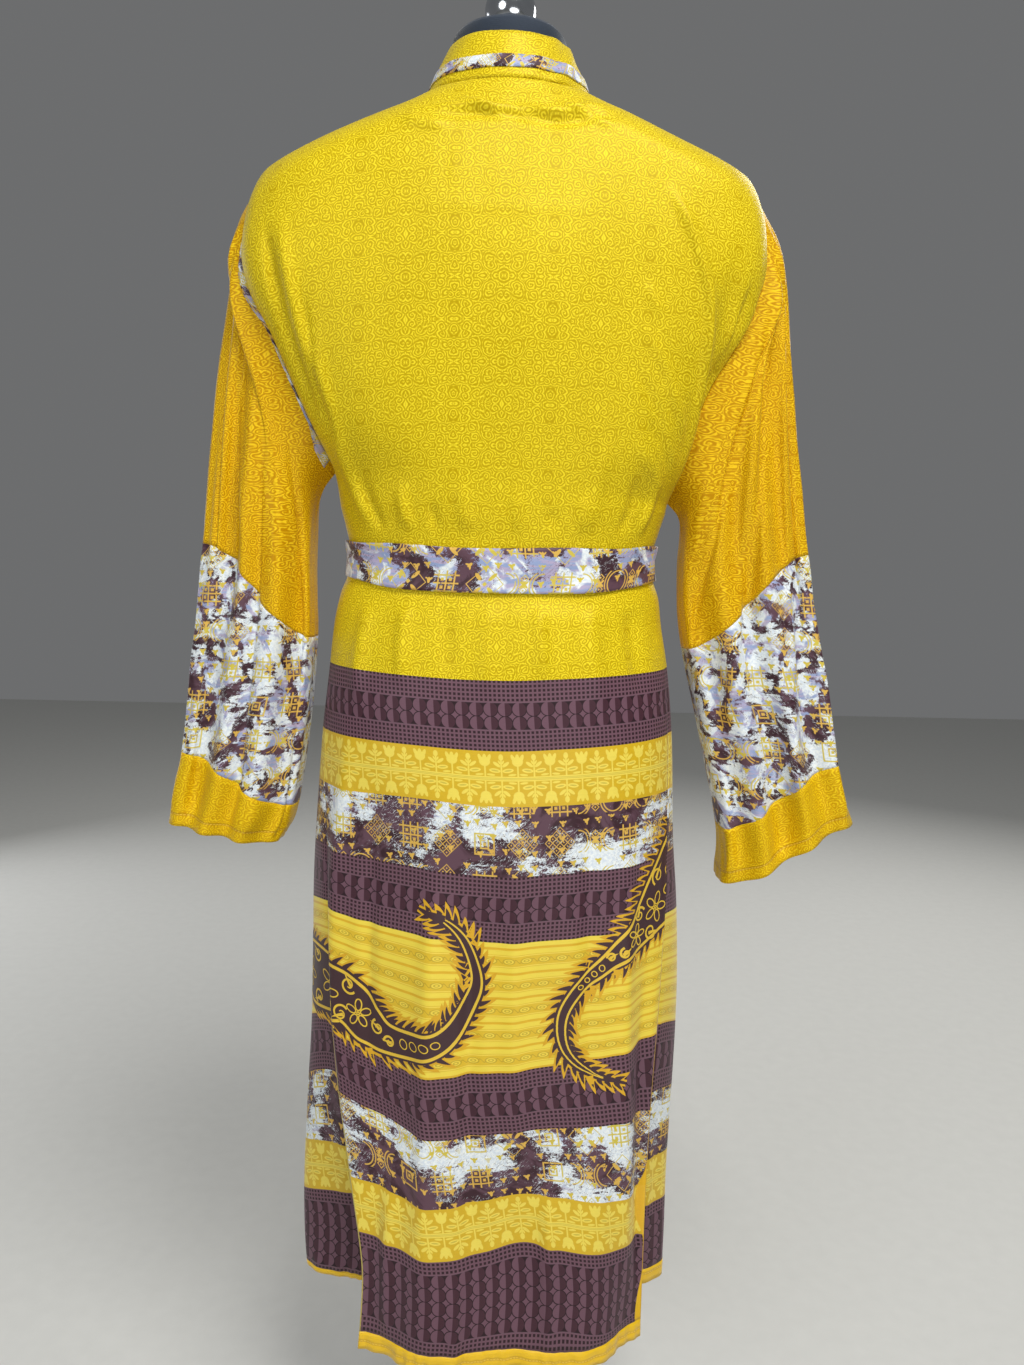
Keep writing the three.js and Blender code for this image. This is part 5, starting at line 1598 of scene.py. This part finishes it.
def turned(name, profile, material, slot, y=0, segments=72):
    """A body of revolution from radius and height pairs, from the top down."""
    angle = round_angles(segments)
    profile = np.array(profile, float)
    radius, z = profile[:, :1], profile[:, 1:]
    sheet = Sheet(points(radius * np.cos(angle), y + radius * np.sin(angle), z),
                  centre=(0, y, float(z.mean())), closed=True).place()
    return capped(name, sheet, [material])


KNOB = {"radius": 24, "foot": 13, "rise": 6, "y": 6, "z": 1498.3}


def knob_profile():
    """A ball, cut off at its foot, on a short collar."""
    start = math.asin(KNOB["foot"] / KNOB["radius"])
    middle = KNOB["rise"] + KNOB["radius"] * math.cos(start)
    ball = [(KNOB["radius"] * math.sin(a), KNOB["z"] + middle - KNOB["radius"] * math.cos(a))
            for a in np.linspace(math.pi * 0.995, start, 40)]
    collar = [(KNOB["foot"], 5), (KNOB["foot"], 0.6), (KNOB["foot"] - 0.4, 0)]
    return ball + [(radius, KNOB["z"] + z) for radius, z in collar]


POLE_PROFILE = [
    (25.2, 775.7), (26, 775), (26, 742.5), (25.2, 741.7), (13.4, 741.7), (13, 741.2), (13, 39.5),
    (14.2, 38.3), (33.2, 13.6), (34, 12.9), (34, 12.3)]
BASE_PROFILE = [(168, 12), (171, 12), (172.6, 11.5), (174.2, 9.9), (175, 8), (175, 0.8), (174.2, 0)]
m_stand = enamel_material()
knob = turned("neck_ball", knob_profile(), chrome_material(), "bright_metal", KNOB["y"])
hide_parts("neck_knob")
pole = turned("stand_tube", POLE_PROFILE, m_stand, "stand_metal")
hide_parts("stand_pole")
base = turned("stand_plate", BASE_PROFILE, m_stand, "stand_metal", segments=128)
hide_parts("stand_base")


# ---------------------------------------------------------------- floor, light
FLOOR_HALF = 6.0


def floor():
    net = Net("floor_paper", roughness=0.85)
    where = net.node("ShaderNodeTexCoord").outputs["Object"]
    grain = net.noise(where, 40.0, 3.0)
    colour = net.blend(grain, rgb(206, 206, 202), rgb(214, 214, 210))
    mesh = bpy.data.meshes.new("floor")
    corners = [(x * FLOOR_HALF, y * FLOOR_HALF, 0) for x, y in ((-1, -1), (1, -1), (1, 1), (-1, 1))]
    mesh.from_pydata(corners, [], [(0, 1, 2, 3)])
    mesh.materials.append(net.finish(colour, grain, 0.0002, 0.1))
    made_floor = bpy.data.objects.new("floor", mesh)
    bpy.context.scene.collection.objects.link(made_floor)


def area_light(name, at, towards, size, watts, colour):
    data = bpy.data.lights.new(name, "AREA")
    data.shape = "ELLIPSE"
    data.size, data.size_y = size
    data.energy = watts
    data.color = colour
    lamp = bpy.data.objects.new(name, data)
    lamp.location = at
    lamp.rotation_euler = (Vector(towards) - Vector(at)).to_track_quat("-Z", "Y").to_euler()
    bpy.context.scene.collection.objects.link(lamp)


floor()
area_light("key", (-0.7, 1.5, 3.1), (0, 0, 1.05), (1.3, 1.3), 66, (1.0, 0.99, 0.96))
area_light("fill", (1.6, 2.2, 1.7), (0, 0, 0.9), (1.4, 1.4), 20, (0.97, 0.99, 1.0))
area_light("low", (-0.8, 2.4, 0.7), (0, 0, 0.5), (2.0, 1.0), 12, (1.0, 1.0, 1.0))
area_light("front", (-1.6, -2.4, 2.2), (0, 0, 1.0), (1.6, 1.6), 38, (1.0, 0.99, 0.97))
area_light("front_fill", (2.2, -1.8, 1.2), (0, 0, 0.8), (2.0, 2.0), 18, (0.97, 0.98, 1.0))

world = bpy.data.worlds.new("studio")
world.use_nodes = True
background = world.node_tree.nodes["Background"]
background.inputs[0].default_value = (0.72, 0.73, 0.74, 1)
background.inputs[1].default_value = 0.21
bpy.context.scene.world = world
bpy.context.scene.view_settings.view_transform = "Standard"
